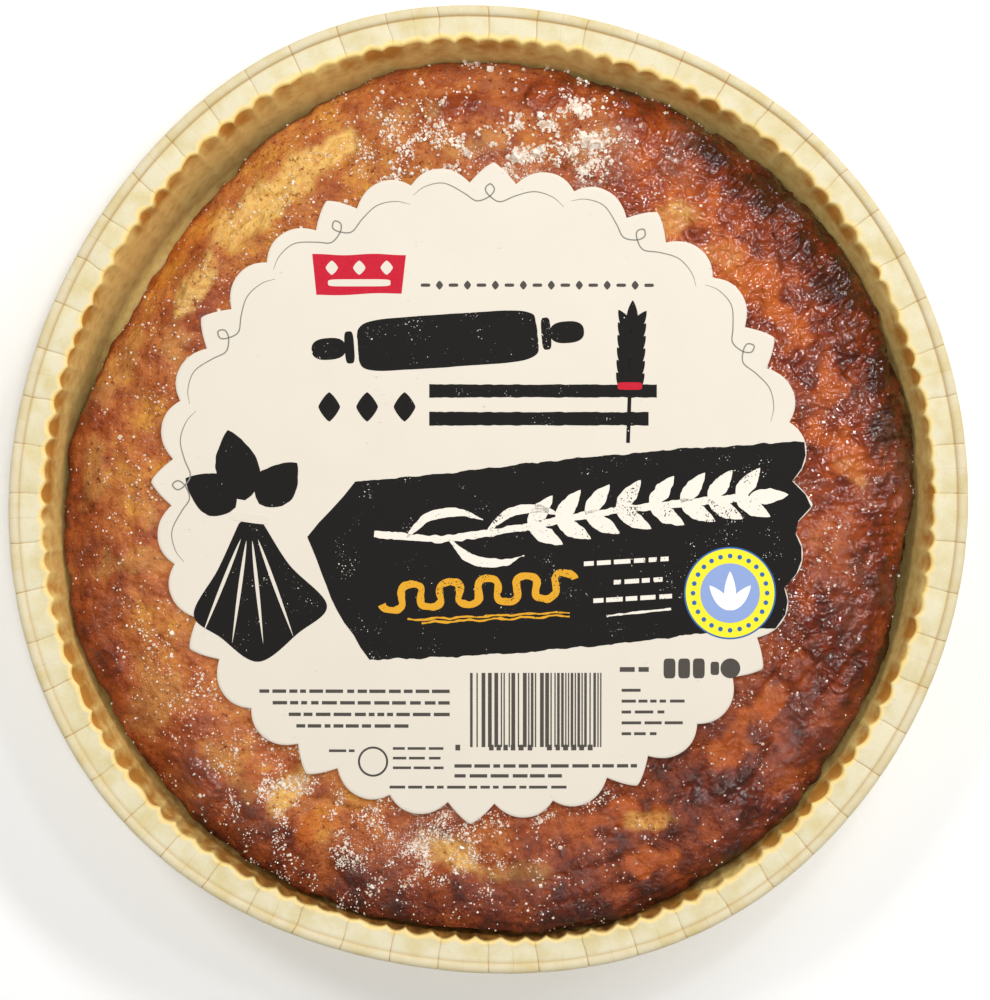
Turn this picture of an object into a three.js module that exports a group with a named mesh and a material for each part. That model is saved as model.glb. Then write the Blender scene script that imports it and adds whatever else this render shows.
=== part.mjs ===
// A butter cake (kouign amann) baked and sold in its pressed paper mould, with a scalloped paper
// label lying on its crown. Three solids: paper_mould, cake and label.
// Millimetres, +Z up. The origin is the centre of the mould's underside, +Y is the top of the label.
import * as THREE from "three";
import { mergeVertices } from "three/addons/utils/BufferGeometryUtils.js";

// Pressed paper mould: flat base, fluted slanting wall, flat flange and a rolled rim.
const PAPER_THICKNESS = 0.6;
const BASE_RADIUS = 87.6;
const BASE_CORNER_RISE = 1.2;
const WALL_FOOT_RADIUS = 88.4;
const WALL_TOP_RADIUS = 95.0;
const FLANGE_TOP = 23.2;
const FLANGE_OUTER_RADIUS = 100.4;
const RIM_OUTER_RADIUS = 102.6;
const RIM_TOP = 24.1;
const RIM_BOTTOM = 22.1;
const FLUTES = 120;
const FLUTE_DEPTH_TOP = 1.6;
const FLUTE_DEPTH_FOOT = 0.5;
const FLUTE_RUN_OUT = 2.0;
const MOULD_SEGMENTS = 2 * FLUTES;

// Cake: a low dome whose shoulder stands higher and fuller on its front side.
const CAKE_GAP = 0.3;
const CAKE_WALL_GAP = 0.5;
const CAKE_RADIUS = 92.0;
const CAKE_CROWN = 26.6;
const CROWN_FALL = 2.6;
const CROWN_RINGS = [0.4, 0.75, 1];
const SHOULDER_START = 70;
const SHOULDER_HEIGHT = 12;
const SHOULDER_STEPS = 5;
const SHOULDER_SQUARENESS = 2.3;
const CAKE_FOOT_RADIUS = 86.6;
const CAKE_FOOT_RISE = 1.5;
const CAKE_FOOT_LIMIT = BASE_RADIUS - PAPER_THICKNESS - 1;
const CAKE_SEGMENTS = 72;

// Label: a thin card disc that follows the crown. Its edge repeats one narrow pointed lobe and
// two round scallops.
const LABEL_GAP = 0.4;
const LABEL_THICKNESS = 0.4;
const LABEL_CENTRE_X = -1.3;
const LABEL_REPEATS = 12;
const LABEL_FIRST_POINT = 28;
const LABEL_RINGS = [26, 48];
const LOBES = [
  { steps: 4, startRadius: 65.7, endRadius: 65.7, tipRadius: 70.0 },
  { steps: 5, startRadius: 65.7, endRadius: 66.7, tipRadius: 69.2 },
  { steps: 5, startRadius: 66.7, endRadius: 65.7, tipRadius: 69.2 },
];

// Slow waves round the outline, as [waves per turn, height, angle of the first crest in degrees].
const MOULD_WANDER = [
  [2, 0.65, 80],
  [3, 0.8, -28],
  [4, 0.75, 31],
  [6, 0.3, -10],
];
const CAKE_WANDER = [
  [1, 2.1, -65],
  [2, 2.1, 66],
  [3, 0.85, -40],
  [4, 1.05, 17],
  [5, 0.6, 34],
];
const SHOULDER_LIFT = [
  [1, 4.0, -75],
  [2, 1.6, 100],
];
const SHOULDER_LUMPS = [
  [5, 0.5, 8],
  [9, 0.3, -11],
];

const radians = THREE.MathUtils.degToRad;
const smoothstep = THREE.MathUtils.smoothstep;
const lerp = THREE.MathUtils.lerp;

function waves(list, angle) {
  const wave = ([count, height, crest]) => height * Math.cos(count * (angle - radians(crest)));
  return list.reduce((sum, entry) => sum + wave(entry), 0);
}

// Share of the wander that reaches a height of the mould: none at the flat base, all at the rim.
function wanderShare(z) {
  return Math.min(z / FLANGE_TOP, 1);
}

// Half the pleat depth at a height of the wall.
function fluteHalfDepth(z) {
  return lerp(FLUTE_DEPTH_FOOT, FLUTE_DEPTH_TOP, z / FLANGE_TOP) / 2;
}

// Radius of the wall's innermost pleats at a height.
function innerWall(angle, z) {
  const rise = (z - BASE_CORNER_RISE) / (FLANGE_TOP - BASE_CORNER_RISE);
  const middle = lerp(WALL_FOOT_RADIUS, WALL_TOP_RADIUS, rise);
  return middle - fluteHalfDepth(z) + waves(MOULD_WANDER, angle) * wanderShare(z);
}

// Height of the smooth crown that the label lies on: a shallow paraboloid.
function crownHeight(radius) {
  return CAKE_CROWN - CROWN_FALL * (radius / SHOULDER_START) ** 2;
}

// Turns a profile of [radius, height] points about Z, then moves each vertex by bend(radius, angle, z).
function turned(profile, segments, bend) {
  const points = profile.map(([radius, z]) => new THREE.Vector2(radius, z));
  const geometry = new THREE.LatheGeometry(points, segments);
  geometry.rotateX(Math.PI / 2);
  const position = geometry.getAttribute("position");
  for (let i = 0; i < position.count; i++) {
    const x = position.getX(i);
    const y = position.getY(i);
    const angle = Math.atan2(y, x);
    const [radius, z] = bend(Math.hypot(x, y), angle, position.getZ(i));
    position.setXYZ(i, radius * Math.cos(angle), radius * Math.sin(angle), z);
  }
  geometry.deleteAttribute("normal");
  geometry.deleteAttribute("uv");
  return mergeVertices(geometry, 1e-4);
}

function makeMould() {
  const rimMiddle = (FLANGE_OUTER_RADIUS + RIM_OUTER_RADIUS) / 2;
  const rimHeight = (RIM_TOP + RIM_BOTTOM) / 2;
  const underside = [
    [0, 0],
    [BASE_RADIUS, 0],
    [WALL_FOOT_RADIUS + PAPER_THICKNESS, BASE_CORNER_RISE],
    [WALL_TOP_RADIUS + PAPER_THICKNESS, FLANGE_TOP - PAPER_THICKNESS],
    [FLANGE_OUTER_RADIUS, FLANGE_TOP - PAPER_THICKNESS],
    [rimMiddle, RIM_BOTTOM],
  ];
  const topside = [
    [RIM_OUTER_RADIUS, rimHeight],
    [rimMiddle, RIM_TOP],
    [FLANGE_OUTER_RADIUS, FLANGE_TOP],
    [WALL_TOP_RADIUS, FLANGE_TOP],
    [WALL_FOOT_RADIUS, BASE_CORNER_RISE],
    [BASE_RADIUS - PAPER_THICKNESS, PAPER_THICKNESS],
    [0, PAPER_THICKNESS],
  ];
  const wallTopOuter = WALL_TOP_RADIUS + PAPER_THICKNESS;
  const pleated = (radius) =>
    smoothstep(radius, BASE_RADIUS - PAPER_THICKNESS, WALL_FOOT_RADIUS) *
    (1 - smoothstep(radius, wallTopOuter, wallTopOuter + FLUTE_RUN_OUT));
  return turned([...underside, ...topside], MOULD_SEGMENTS, (radius, angle, z) => {
    const pleat = fluteHalfDepth(z) * Math.cos(FLUTES * angle) * pleated(radius);
    return [radius + pleat + waves(MOULD_WANDER, angle) * wanderShare(z), z];
  });
}

function makeCake() {
  const foot = PAPER_THICKNESS + CAKE_GAP;
  const profile = [[0, CAKE_CROWN]];
  for (const share of CROWN_RINGS) {
    const radius = share * SHOULDER_START;
    profile.push([radius, crownHeight(radius)]);
  }
  // The shoulder is a quarter of a superellipse from the crown's edge down to the widest line.
  const edgeHeight = crownHeight(SHOULDER_START);
  for (let i = 1; i <= SHOULDER_STEPS; i++) {
    const turn = (i / SHOULDER_STEPS) * (Math.PI / 2);
    const out = Math.sin(turn) ** (2 / SHOULDER_SQUARENESS);
    const up = Math.cos(turn) ** (2 / SHOULDER_SQUARENESS);
    profile.push([lerp(SHOULDER_START, CAKE_RADIUS, out), lerp(SHOULDER_HEIGHT, edgeHeight, up)]);
  }
  profile.push([lerp(CAKE_FOOT_RADIUS, CAKE_RADIUS, 0.5), lerp(foot, SHOULDER_HEIGHT, 0.5)]);
  profile.push([CAKE_FOOT_RADIUS, foot + CAKE_FOOT_RISE]);
  profile.push([CAKE_FOOT_RADIUS - CAKE_FOOT_RISE, foot]);
  profile.push([0, foot]);

  return turned(profile.reverse(), CAKE_SEGMENTS, (radius, angle, z) => {
    const outwards = smoothstep(radius, SHOULDER_START, CAKE_RADIUS);
    const lift = waves(SHOULDER_LIFT, angle);
    const upper = z >= SHOULDER_HEIGHT;
    const lump = upper ? waves(SHOULDER_LUMPS, angle) * 4 * outwards * (1 - outwards) : 0;
    const height = upper
      ? z + lift * outwards + lump
      : lerp(foot, SHOULDER_HEIGHT + lift, (z - foot) / (SHOULDER_HEIGHT - foot));
    const free = radius + waves(CAKE_WANDER, angle) * outwards;
    const limit = height > foot ? innerWall(angle, height) - CAKE_WALL_GAP : CAKE_FOOT_LIMIT;
    return [Math.min(free, limit), height];
  });
}

// Radius of the label's edge at a step of the repeat: an arch between each lobe's two cusps.
function labelEdge(step) {
  let first = 0;
  for (const lobe of LOBES) {
    const along = (step - first) / lobe.steps;
    if (along <= 1) {
      const chord = lerp(lobe.startRadius, lobe.endRadius, along);
      return chord + (lobe.tipRadius - (lobe.startRadius + lobe.endRadius) / 2) * Math.sin(Math.PI * along);
    }
    first += lobe.steps;
  }
}

function makeLabel() {
  const stepsPerRepeat = LOBES.reduce((sum, lobe) => sum + lobe.steps, 0);
  const stepAngle = (2 * Math.PI) / (LABEL_REPEATS * stepsPerRepeat);
  const edge = LOBES[0].startRadius;
  const radii = [...LABEL_RINGS, edge];
  const profile = [
    [0, crownHeight(0)],
    ...radii.map((radius) => [radius, crownHeight(radius)]),
    ...radii.reverse().map((radius) => [radius, crownHeight(radius) + LABEL_THICKNESS]),
    [0, crownHeight(0) + LABEL_THICKNESS],
  ];
  const geometry = turned(profile, LABEL_REPEATS * stepsPerRepeat, (radius, angle, z) => {
    const step = (Math.round(angle / stepAngle) + LABEL_REPEATS * stepsPerRepeat) % stepsPerRepeat;
    const cut = radius < edge - 1 ? radius : labelEdge(step);
    return [cut, z + crownHeight(cut) - crownHeight(radius) + LABEL_GAP];
  });
  // The lathe's first lobe starts on +X; turn its middle to the first point's angle.
  geometry.rotateZ(radians(LABEL_FIRST_POINT) - (LOBES[0].steps / 2) * stepAngle);
  return geometry;
}

const group = new THREE.Group();

function add(name, geometry, color, roughness) {
  const material = new THREE.MeshStandardMaterial({ color, roughness, metalness: 0, flatShading: true });
  const mesh = new THREE.Mesh(geometry, material);
  mesh.name = name;
  group.add(mesh);
  return mesh;
}

add("paper_mould", makeMould(), 0xe9dcae, 0.6);
add("cake", makeCake(), 0xa8572c, 0.4);
add("label", makeLabel(), 0xf1e8da, 0.7).position.set(LABEL_CENTRE_X, 0, 0);

export default group;
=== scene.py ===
"""A caramelised butter cake in its fluted paper mould, with a scalloped card label on its crown.

Every length is in metres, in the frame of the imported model: +Z up, the origin at the centre of the
mould's underside and +Y towards the top of the label. Angles round the cake are counted
anticlockwise from +X, seen from above.
"""

import math

import bpy
import numpy as np
from bpy.props import FloatProperty, FloatVectorProperty, IntProperty, PointerProperty
from bpy.types import Operator, Panel, PropertyGroup
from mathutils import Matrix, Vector


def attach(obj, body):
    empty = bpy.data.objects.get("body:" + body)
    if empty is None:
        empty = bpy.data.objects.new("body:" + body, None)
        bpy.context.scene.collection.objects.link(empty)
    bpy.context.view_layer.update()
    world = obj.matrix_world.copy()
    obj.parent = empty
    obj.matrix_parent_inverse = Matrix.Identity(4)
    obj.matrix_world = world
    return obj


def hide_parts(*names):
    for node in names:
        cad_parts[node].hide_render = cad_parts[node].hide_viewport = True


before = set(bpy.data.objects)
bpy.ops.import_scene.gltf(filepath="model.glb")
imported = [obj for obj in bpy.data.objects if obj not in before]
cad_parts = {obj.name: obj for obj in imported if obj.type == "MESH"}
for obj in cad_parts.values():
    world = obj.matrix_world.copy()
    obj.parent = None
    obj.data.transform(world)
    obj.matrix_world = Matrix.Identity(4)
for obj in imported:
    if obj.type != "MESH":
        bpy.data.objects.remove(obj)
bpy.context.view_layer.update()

bl_info = {
    "name": "Butter Cake in a Paper Mould",
    "version": (1, 0, 0),
    "blender": (4, 5, 0),
    "location": "View3D > Sidebar > Butter Cake",
    "description": "Builds a caramelised butter cake, its fluted paper mould and its card label",
    "category": "Add Mesh",
}

MM = 0.001
BODY = "root"

# Slow waves round an outline, as (waves per turn, height in mm, angle of the first crest in degrees).
MOULD_WANDER = ((2, 0.65, 80), (3, 0.8, -28), (4, 0.75, 31), (6, 0.3, -10))
CAKE_WANDER = ((1, 2.1, -65), (2, 2.1, 66), (3, 0.85, -40), (4, 1.05, 17), (5, 0.6, 34))
SHOULDER_LIFT = ((1, 4.0, -75), (2, 1.6, 100))
SHOULDER_LUMPS = ((5, 0.5, 8), (9, 0.3, -11))


# ------------------------------------------------------------------ colours


def linear(code):
    """Linear RGB of an sRGB hex colour such as "EFE3BC"."""
    parts = [int(code[i : i + 2], 16) / 255 for i in (0, 2, 4)]
    return tuple(c / 12.92 if c <= 0.04045 else ((c + 0.055) / 1.055) ** 2.4 for c in parts)


def rgba(colour):
    """A colour with full alpha, as a node's socket takes it."""
    return (*colour, 1.0)


def colour_property(name, code, description):
    """A colour setting whose default is a hex colour."""
    return FloatVectorProperty(
        name=name, description=description, default=linear(code), subtype="COLOR", size=3, min=0, max=1
    )


def length_property(name, value, description):
    """A length setting that can't be negative."""
    return FloatProperty(name=name, description=description, default=value, unit="LENGTH", min=0)


# ------------------------------------------------------------------ settings


class MouldSettings(PropertyGroup):
    """Sizes and paper colours of the mould."""

    thickness: length_property("Paper thickness", 0.6 * MM, "Thickness of the pressed paper")
    base_radius: length_property("Base radius", 87.6 * MM, "Radius of the flat underside")
    wall_foot: length_property("Wall foot", 88.4 * MM, "Mean radius of the wall at its foot")
    wall_top: length_property("Wall top", 95.0 * MM, "Mean radius of the wall under the flange")
    flange_height: length_property("Flange height", 23.2 * MM, "Height of the flange's upper face")
    flange_edge: length_property("Flange edge", 100.2 * MM, "Radius where the rolled rim starts")
    rim_radius: length_property("Rim roll", 1.15 * MM, "Half the width of the rolled rim")
    rim_rise: length_property("Rim rise", 0.75 * MM, "Half the height of the rolled rim")
    flutes: IntProperty(name="Flutes", description="Pleats round the wall", default=120, min=3)
    flute_depth: length_property("Flute depth", 1.45 * MM, "Depth of a pleat at the flange")
    paper: colour_property("Paper", "E4DBBB", "Dry cream paper of the flange")
    paper_shade: colour_property("Paper shade", "DACB98", "Paper where a little butter has crept in")
    # Soaked paper is painted paler than butter-soaked paper is, as painted light on the lower wall. Browned
    # paper is partly real browning and partly painted shade under the flange.
    soaked: colour_property("Soaked paper", "F7D988", "Butter-soaked paper of the wall")
    browned_and_shaded_paper: colour_property("Browned paper", "C78A3C", "Wall paper browned under the flange")
    # Scorched is painted shade of the front crevice, with some charred sugar.
    scorched_and_shaded: colour_property("Scorched", "4A2D14", "Burnt sugar on the front wall")
    # Crease is also the colour of the painted shadow along the foot of the rolled rim.
    crease: colour_property("Crease", "B0822F", "Butter drawn into the pressed creases")


class CakeSettings(PropertyGroup):
    """Sizes and crust colours of the cake, and its sugar."""

    crown_height: length_property("Crown height", 26.6 * MM, "Height of the crown's middle")
    crown_fall: length_property("Crown fall", 2.6 * MM, "Fall from the middle to the shoulder")
    shoulder_start: length_property("Shoulder start", 70.0 * MM, "Radius where the shoulder begins")
    shoulder_height: length_property("Widest height", 12.0 * MM, "Height of the widest line")
    radius: length_property("Cake radius", 92.0 * MM, "Mean radius of the widest line")
    relief: FloatProperty(name="Relief", description="Strength of the crust's relief", default=1.0, min=0)
    grain: length_property("Sugar grain", 0.11 * MM, "Half the side of a middling sugar grain")
    grains: IntProperty(name="Grains", description="Sugar grains on the crust", default=8500, min=0)
    golden: colour_property("Golden", "D9983F", "Palest baked crust")
    tan: colour_property("Tan", "BD7038", "Lightly caramelised crust")
    brown: colour_property("Brown", "9C4C20", "Caramelised crust")
    russet: colour_property("Russet", "6D2B10", "Dark caramel")
    dark: colour_property("Dark", "3C1608", "Darkest caramel of the shoulder")
    dough: colour_property("Dough", "EFC06C", "Unbrowned buttery dough")
    amber: colour_property("Amber", "BE5A14", "Clear amber caramel")
    # This pale lilac-brown is partly sugar on the caramel and partly a painted sheen.
    haze_and_sheen: colour_property("Haze", "A0725E", "Dull sugar bloom on the caramel")
    sugar: colour_property("Sugar", "F6EBDD", "Sugar crystals and dust")


class LabelSettings(PropertyGroup):
    """Sizes of the label, its card colour and its inks."""

    centre_x: FloatProperty(
        name="Sideways", description="Place of the label's middle along X", default=-1.3 * MM, unit="LENGTH"
    )
    gap: length_property("Gap", 0.4 * MM, "Gap between the crown and the card")
    thickness: length_property("Card thickness", 0.32 * MM, "Thickness of the card")
    ink: length_property("Ink", 0.03 * MM, "Height of one printed layer")
    repeats: IntProperty(name="Repeats", description="Repeats of the scalloped edge", default=12, min=1)
    card: colour_property("Card", "E2D9CA", "Uncoated cream card")
    fleck: colour_property("Fleck", "B9AD9A", "Fibre flecks in the card")
    black: colour_property("Black ink", "171413", "Matt black ink")
    red: colour_property("Red ink", "C5072B", "Red ink")
    chalk: colour_property("Chalk ink", "F1E9DC", "Chalk-coloured ink")
    ochre: colour_property("Ochre ink", "E2A52A", "Ochre ink")
    yellow: colour_property("Yellow ink", "FBE92C", "Yellow ink")
    blue: colour_property("Blue ink", "2E66A8", "Blue ink")
    sky: colour_property("Pale blue ink", "8FA6D8", "Pale blue ink")
    grey: colour_property("Grey ink", "86847B", "Grey line ink")
    text: colour_property("Small print", "4B4540", "Dark grey ink of the fine lines")
    white: colour_property("White ink", "FAFAF6", "White ink of the badge's sprig")


class StageSettings(PropertyGroup):
    """Camera, floor and lights."""

    camera_height: length_property("Camera height", 0.85, "Height of the camera over the floor")
    aim_x: FloatProperty(name="Aim X", description="Sideways aim", default=1.46 * MM, unit="LENGTH")
    aim_y: FloatProperty(name="Aim Y", description="Aim along Y", default=-1.44 * MM, unit="LENGTH")
    rim_share: FloatProperty(
        name="Rim share", description="Share of the picture's height that the rim takes", default=0.968
    )
    floor: colour_property("Floor", "FCFCFC", "Plain pale floor")
    surround: FloatProperty(name="Surround", description="Strength of the surround", default=0.28, min=0)


# ------------------------------------------------------------------ arithmetic on arrays


def smoothstep(value, low, high):
    """0 below low, 1 above high, and 3t^2 - 2t^3 between them."""
    t = np.clip((value - low) / (high - low), 0, 1)
    return t * t * (3 - 2 * t)


def mix(a, b, share):
    """a where share is 0, b where it is 1, and straight between them."""
    return a + (b - a) * share


def waves(entries, angle):
    """Sum of cosines round the outline, in metres: each has its crest at its own angle."""
    return sum(
        height * MM * np.cos(count * (angle - math.radians(crest))) for count, height, crest in entries
    )


def lattice(x, y, seed):
    """Even noise from -1 to 1 at whole-number points: a whole-number hash that multiplies by large
    odd numbers and folds the high digits into the low ones."""
    mixed = (x.astype(np.int64) * 374761393 + y.astype(np.int64) * 668265263 + seed * 974711) & 0x7FFFFFFF
    mixed = ((mixed ^ (mixed >> 13)) * 1274126177) & 0x7FFFFFFF
    return (mixed ^ (mixed >> 16)) / 0x3FFFFFFF - 1.0


def soft_noise(x, y, seed):
    """Value noise: the four corners of a unit square blended by a smoothstep along each side. Every
    call has a seed of its own, so that no two patterns fall together."""
    x0, y0 = np.floor(x), np.floor(y)
    u, v = smoothstep(x - x0, 0, 1), smoothstep(y - y0, 0, 1)
    near = mix(lattice(x0, y0, seed), lattice(x0 + 1, y0, seed), u)
    far = mix(lattice(x0, y0 + 1, seed), lattice(x0 + 1, y0 + 1, seed), u)
    return mix(near, far, v)


def rough(x, y, size, octaves, seed):
    """Sum of value noises, each half as high and half as wide as the one before; size is the widest."""
    total, share = 0.0, 1.0
    for octave in range(octaves):
        step = size / 2**octave
        total = total + share * soft_noise(x / step + 7.3 * octave, y / step - 3.1 * octave, seed + octave)
        share /= 2
    return total


def round_value(knots, degrees):
    """A value that runs smoothly round the cake through (angle, value) knots."""
    angles, values = np.array(knots).T
    return np.interp(degrees, angles, values, period=360)


def near_angle(degrees, middle, none, full):
    """1 within an angle of a direction round the cake, 0 past a wider one, and smooth between."""
    away = np.abs((degrees - middle + 180) % 360 - 180)
    return smoothstep(-away, -none, -full)


def patch(x, y, spot, wobble):
    """1 inside a soft-edged turned ellipse (x, y, turn, half length, half width in mm and degrees)."""
    cx, cy, turn, half_length, half_width = spot
    c, s = math.cos(math.radians(turn)), math.sin(math.radians(turn))
    dx, dy = x / MM - cx, y / MM - cy
    away = np.hypot((dx * c + dy * s) / half_length, (dy * c - dx * s) / half_width)
    return 1 - smoothstep(away + wobble, 0.55, 1.25)


# ------------------------------------------------------------------ meshes from arrays


def ring_solid(rings, top, bottom):
    """A closed solid of rings from a top pole out over the edge and back to a bottom pole.

    rings is (rows, columns, 3), anticlockwise from above. Returns points, quads and triangles.
    """
    rows, columns = rings.shape[:2]
    points = np.vstack([rings.reshape(-1, 3), [top, bottom]])
    index = np.arange(rows * columns).reshape(rows, columns)
    after = np.roll(index, -1, axis=1)
    quads = np.stack([index[:-1], index[1:], after[1:], after[:-1]], axis=-1).reshape(-1, 4)
    pole = np.full(columns, rows * columns)
    upper = np.stack([pole, index[0], after[0]], axis=-1)
    lower = np.stack([pole + 1, after[-1], index[-1]], axis=-1)
    return points, quads, np.vstack([upper, lower])


def plate(top, drop):
    """A closed thin plate: an open grid (rows, columns, 3), its copy lower by drop, and a wall round both."""
    rows, columns = top.shape[:2]
    count = rows * columns
    index = np.arange(count).reshape(rows, columns)
    face = np.stack([index[:-1, :-1], index[1:, :-1], index[1:, 1:], index[:-1, 1:]], axis=-1).reshape(-1, 4)
    border = np.concatenate([index[:-1, 0], index[-1, :-1], index[:0:-1, -1], index[0, :0:-1]])
    after = np.roll(border, -1)
    wall = np.stack([border, border + count, after + count, after], axis=-1)
    across = top[1, 0] - top[0, 0]
    along = top[0, 1] - top[0, 0]
    if across[0] * along[1] - across[1] * along[0] < 0:
        face, wall = face[:, ::-1], wall[:, ::-1]
    points = np.vstack([top.reshape(-1, 3), top.reshape(-1, 3) - [0, 0, drop]])
    return points, np.vstack([face, face[:, ::-1] + count, wall]), np.zeros((0, 3), int)


def joined(solids):
    """Several solids as one set of points, quads and triangles."""
    points, quads, triangles, start = [], [], [], 0
    for part_points, part_quads, part_triangles in solids:
        points.append(part_points)
        quads.append(part_quads + start)
        triangles.append(part_triangles + start)
        start += len(part_points)
    return np.vstack(points), np.vstack(quads), np.vstack(triangles)


def grown_object(name, solid, material, smooth=True):
    """A mesh object of points, quads and triangles, linked to the scene."""
    points, quads, triangles = solid
    corners = np.concatenate([quads.ravel(), triangles.ravel()])
    totals = np.concatenate([np.full(len(quads), 4), np.full(len(triangles), 3)])
    mesh = bpy.data.meshes.new(name)
    mesh.vertices.add(len(points))
    mesh.vertices.foreach_set("co", points.astype(np.float32).ravel())
    mesh.loops.add(len(corners))
    mesh.loops.foreach_set("vertex_index", corners.astype(np.int32))
    mesh.polygons.add(len(totals))
    mesh.polygons.foreach_set("loop_start", (np.cumsum(totals) - totals).astype(np.int32))
    mesh.polygons.foreach_set("use_smooth", np.full(len(totals), smooth))
    mesh.update(calc_edges=True)
    if mesh.validate():
        raise RuntimeError(f"{name} has faces that Blender had to mend")
    mesh.materials.append(material)
    made = bpy.data.objects.new(name, mesh)
    bpy.context.scene.collection.objects.link(made)
    return made


def paint(made, name, values):
    """Stores a value for each vertex, under a name that the material reads."""
    made.data.attributes.new(name, "FLOAT", "POINT").data.foreach_set("value", values.astype(np.float32))


def wrap_skin(made, rings_shape, across, down):
    """A UV map in metres for a ring solid: the way round at a middle radius, and the way down the profile."""
    rows, columns = rings_shape
    u = np.append(across, 2 * across[-1] - across[-2])
    j, i = np.meshgrid(np.arange(columns), np.arange(rows - 1))
    quad_u = np.stack([u[j], u[j], u[j + 1], u[j + 1]], axis=-1)
    quad_v = np.stack([down[i], down[i + 1], down[i + 1], down[i]], axis=-1)
    fans = 2 * columns * 3
    uv = np.zeros((quad_u.size + fans, 2))
    uv[: quad_u.size] = np.stack([quad_u.ravel(), quad_v.ravel()], axis=-1)
    made.data.uv_layers.new(name="skin").data.foreach_set("uv", uv.astype(np.float32).ravel())


def hand_over(made, slot, *nodes):
    """Makes a finished piece ride on the body and hides the imported parts it stands for; slot is not used.
    """
    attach(made, BODY)
    if nodes:
        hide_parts(*nodes)


# ------------------------------------------------------------------ materials

NOISE = "ShaderNodeTexNoise"
RANGE = "ShaderNodeMapRange"
MATH = "ShaderNodeMath"
MIX = "ShaderNodeMix"
BUMP = "ShaderNodeBump"
MAPPING = "ShaderNodeMapping"
STORED = "ShaderNodeAttribute"
PLACE = "ShaderNodeTexCoord"
SURFACE = "ShaderNodeBsdfPrincipled"
OUTPUT = "ShaderNodeOutputMaterial"
PLUS = {"operation": "ADD"}
TIMES = {"operation": "MULTIPLY"}
# Sockets of a mix of two colours: its share, its two colours, and its output.
SHARE, FIRST, SECOND, MIXED = 0, 6, 7, 2
COLOUR = {"data_type": "RGBA"}
MULTIPLIED = {"data_type": "RGBA", "blend_type": "MULTIPLY"}

# Tints that darken what they are multiplied with, and dirt that shows through it.
FIBRE_TINT = linear("E1D7BC")
MELTED_TINT = linear("F9D4AA")
PORE_TINT = linear("BC8B69")
STAINED_SUGAR = linear("C48E65")
AGED_CARD = linear("EBE2D4")
CARD_THROUGH_INK = linear("F3EFE7")
FLOOR_SHADE = linear("E7E7E7")


def new_material(name):
    """A material with no nodes yet. Returns it and its node tree."""
    material = bpy.data.materials.new(name)
    material.use_nodes = True
    tree = material.node_tree
    tree.nodes.clear()
    return material, tree


def add(tree, kind, inputs=(), out=0, stops=(), **settings):
    """Adds a node with its settings and links, and returns one of its outputs.

    inputs are numbers, colours or other nodes' outputs, in the order of the sockets or keyed by them,
    and None leaves a socket as it is. A noise takes its place, None, bumps per metre, detail and
    roughness. A range takes a value, the two ends it comes from and the two ends it goes to, and
    holds it at them. stops are the places and colours of a ramp.
    """
    node = tree.nodes.new(kind)
    for name, value in settings.items():
        setattr(node, name, value)
    for key, value in inputs.items() if isinstance(inputs, dict) else enumerate(inputs):
        if isinstance(value, bpy.types.NodeSocket):
            tree.links.new(value, node.inputs[key])
        elif value is not None:
            node.inputs[key].default_value = value
    for number, (place, colour) in enumerate(stops):
        elements = node.color_ramp.elements
        element = elements[number] if number < len(elements) else elements.new(place)
        element.position, element.color = place, rgba(colour)
    return node.outputs[out] if len(node.outputs) else None


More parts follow.
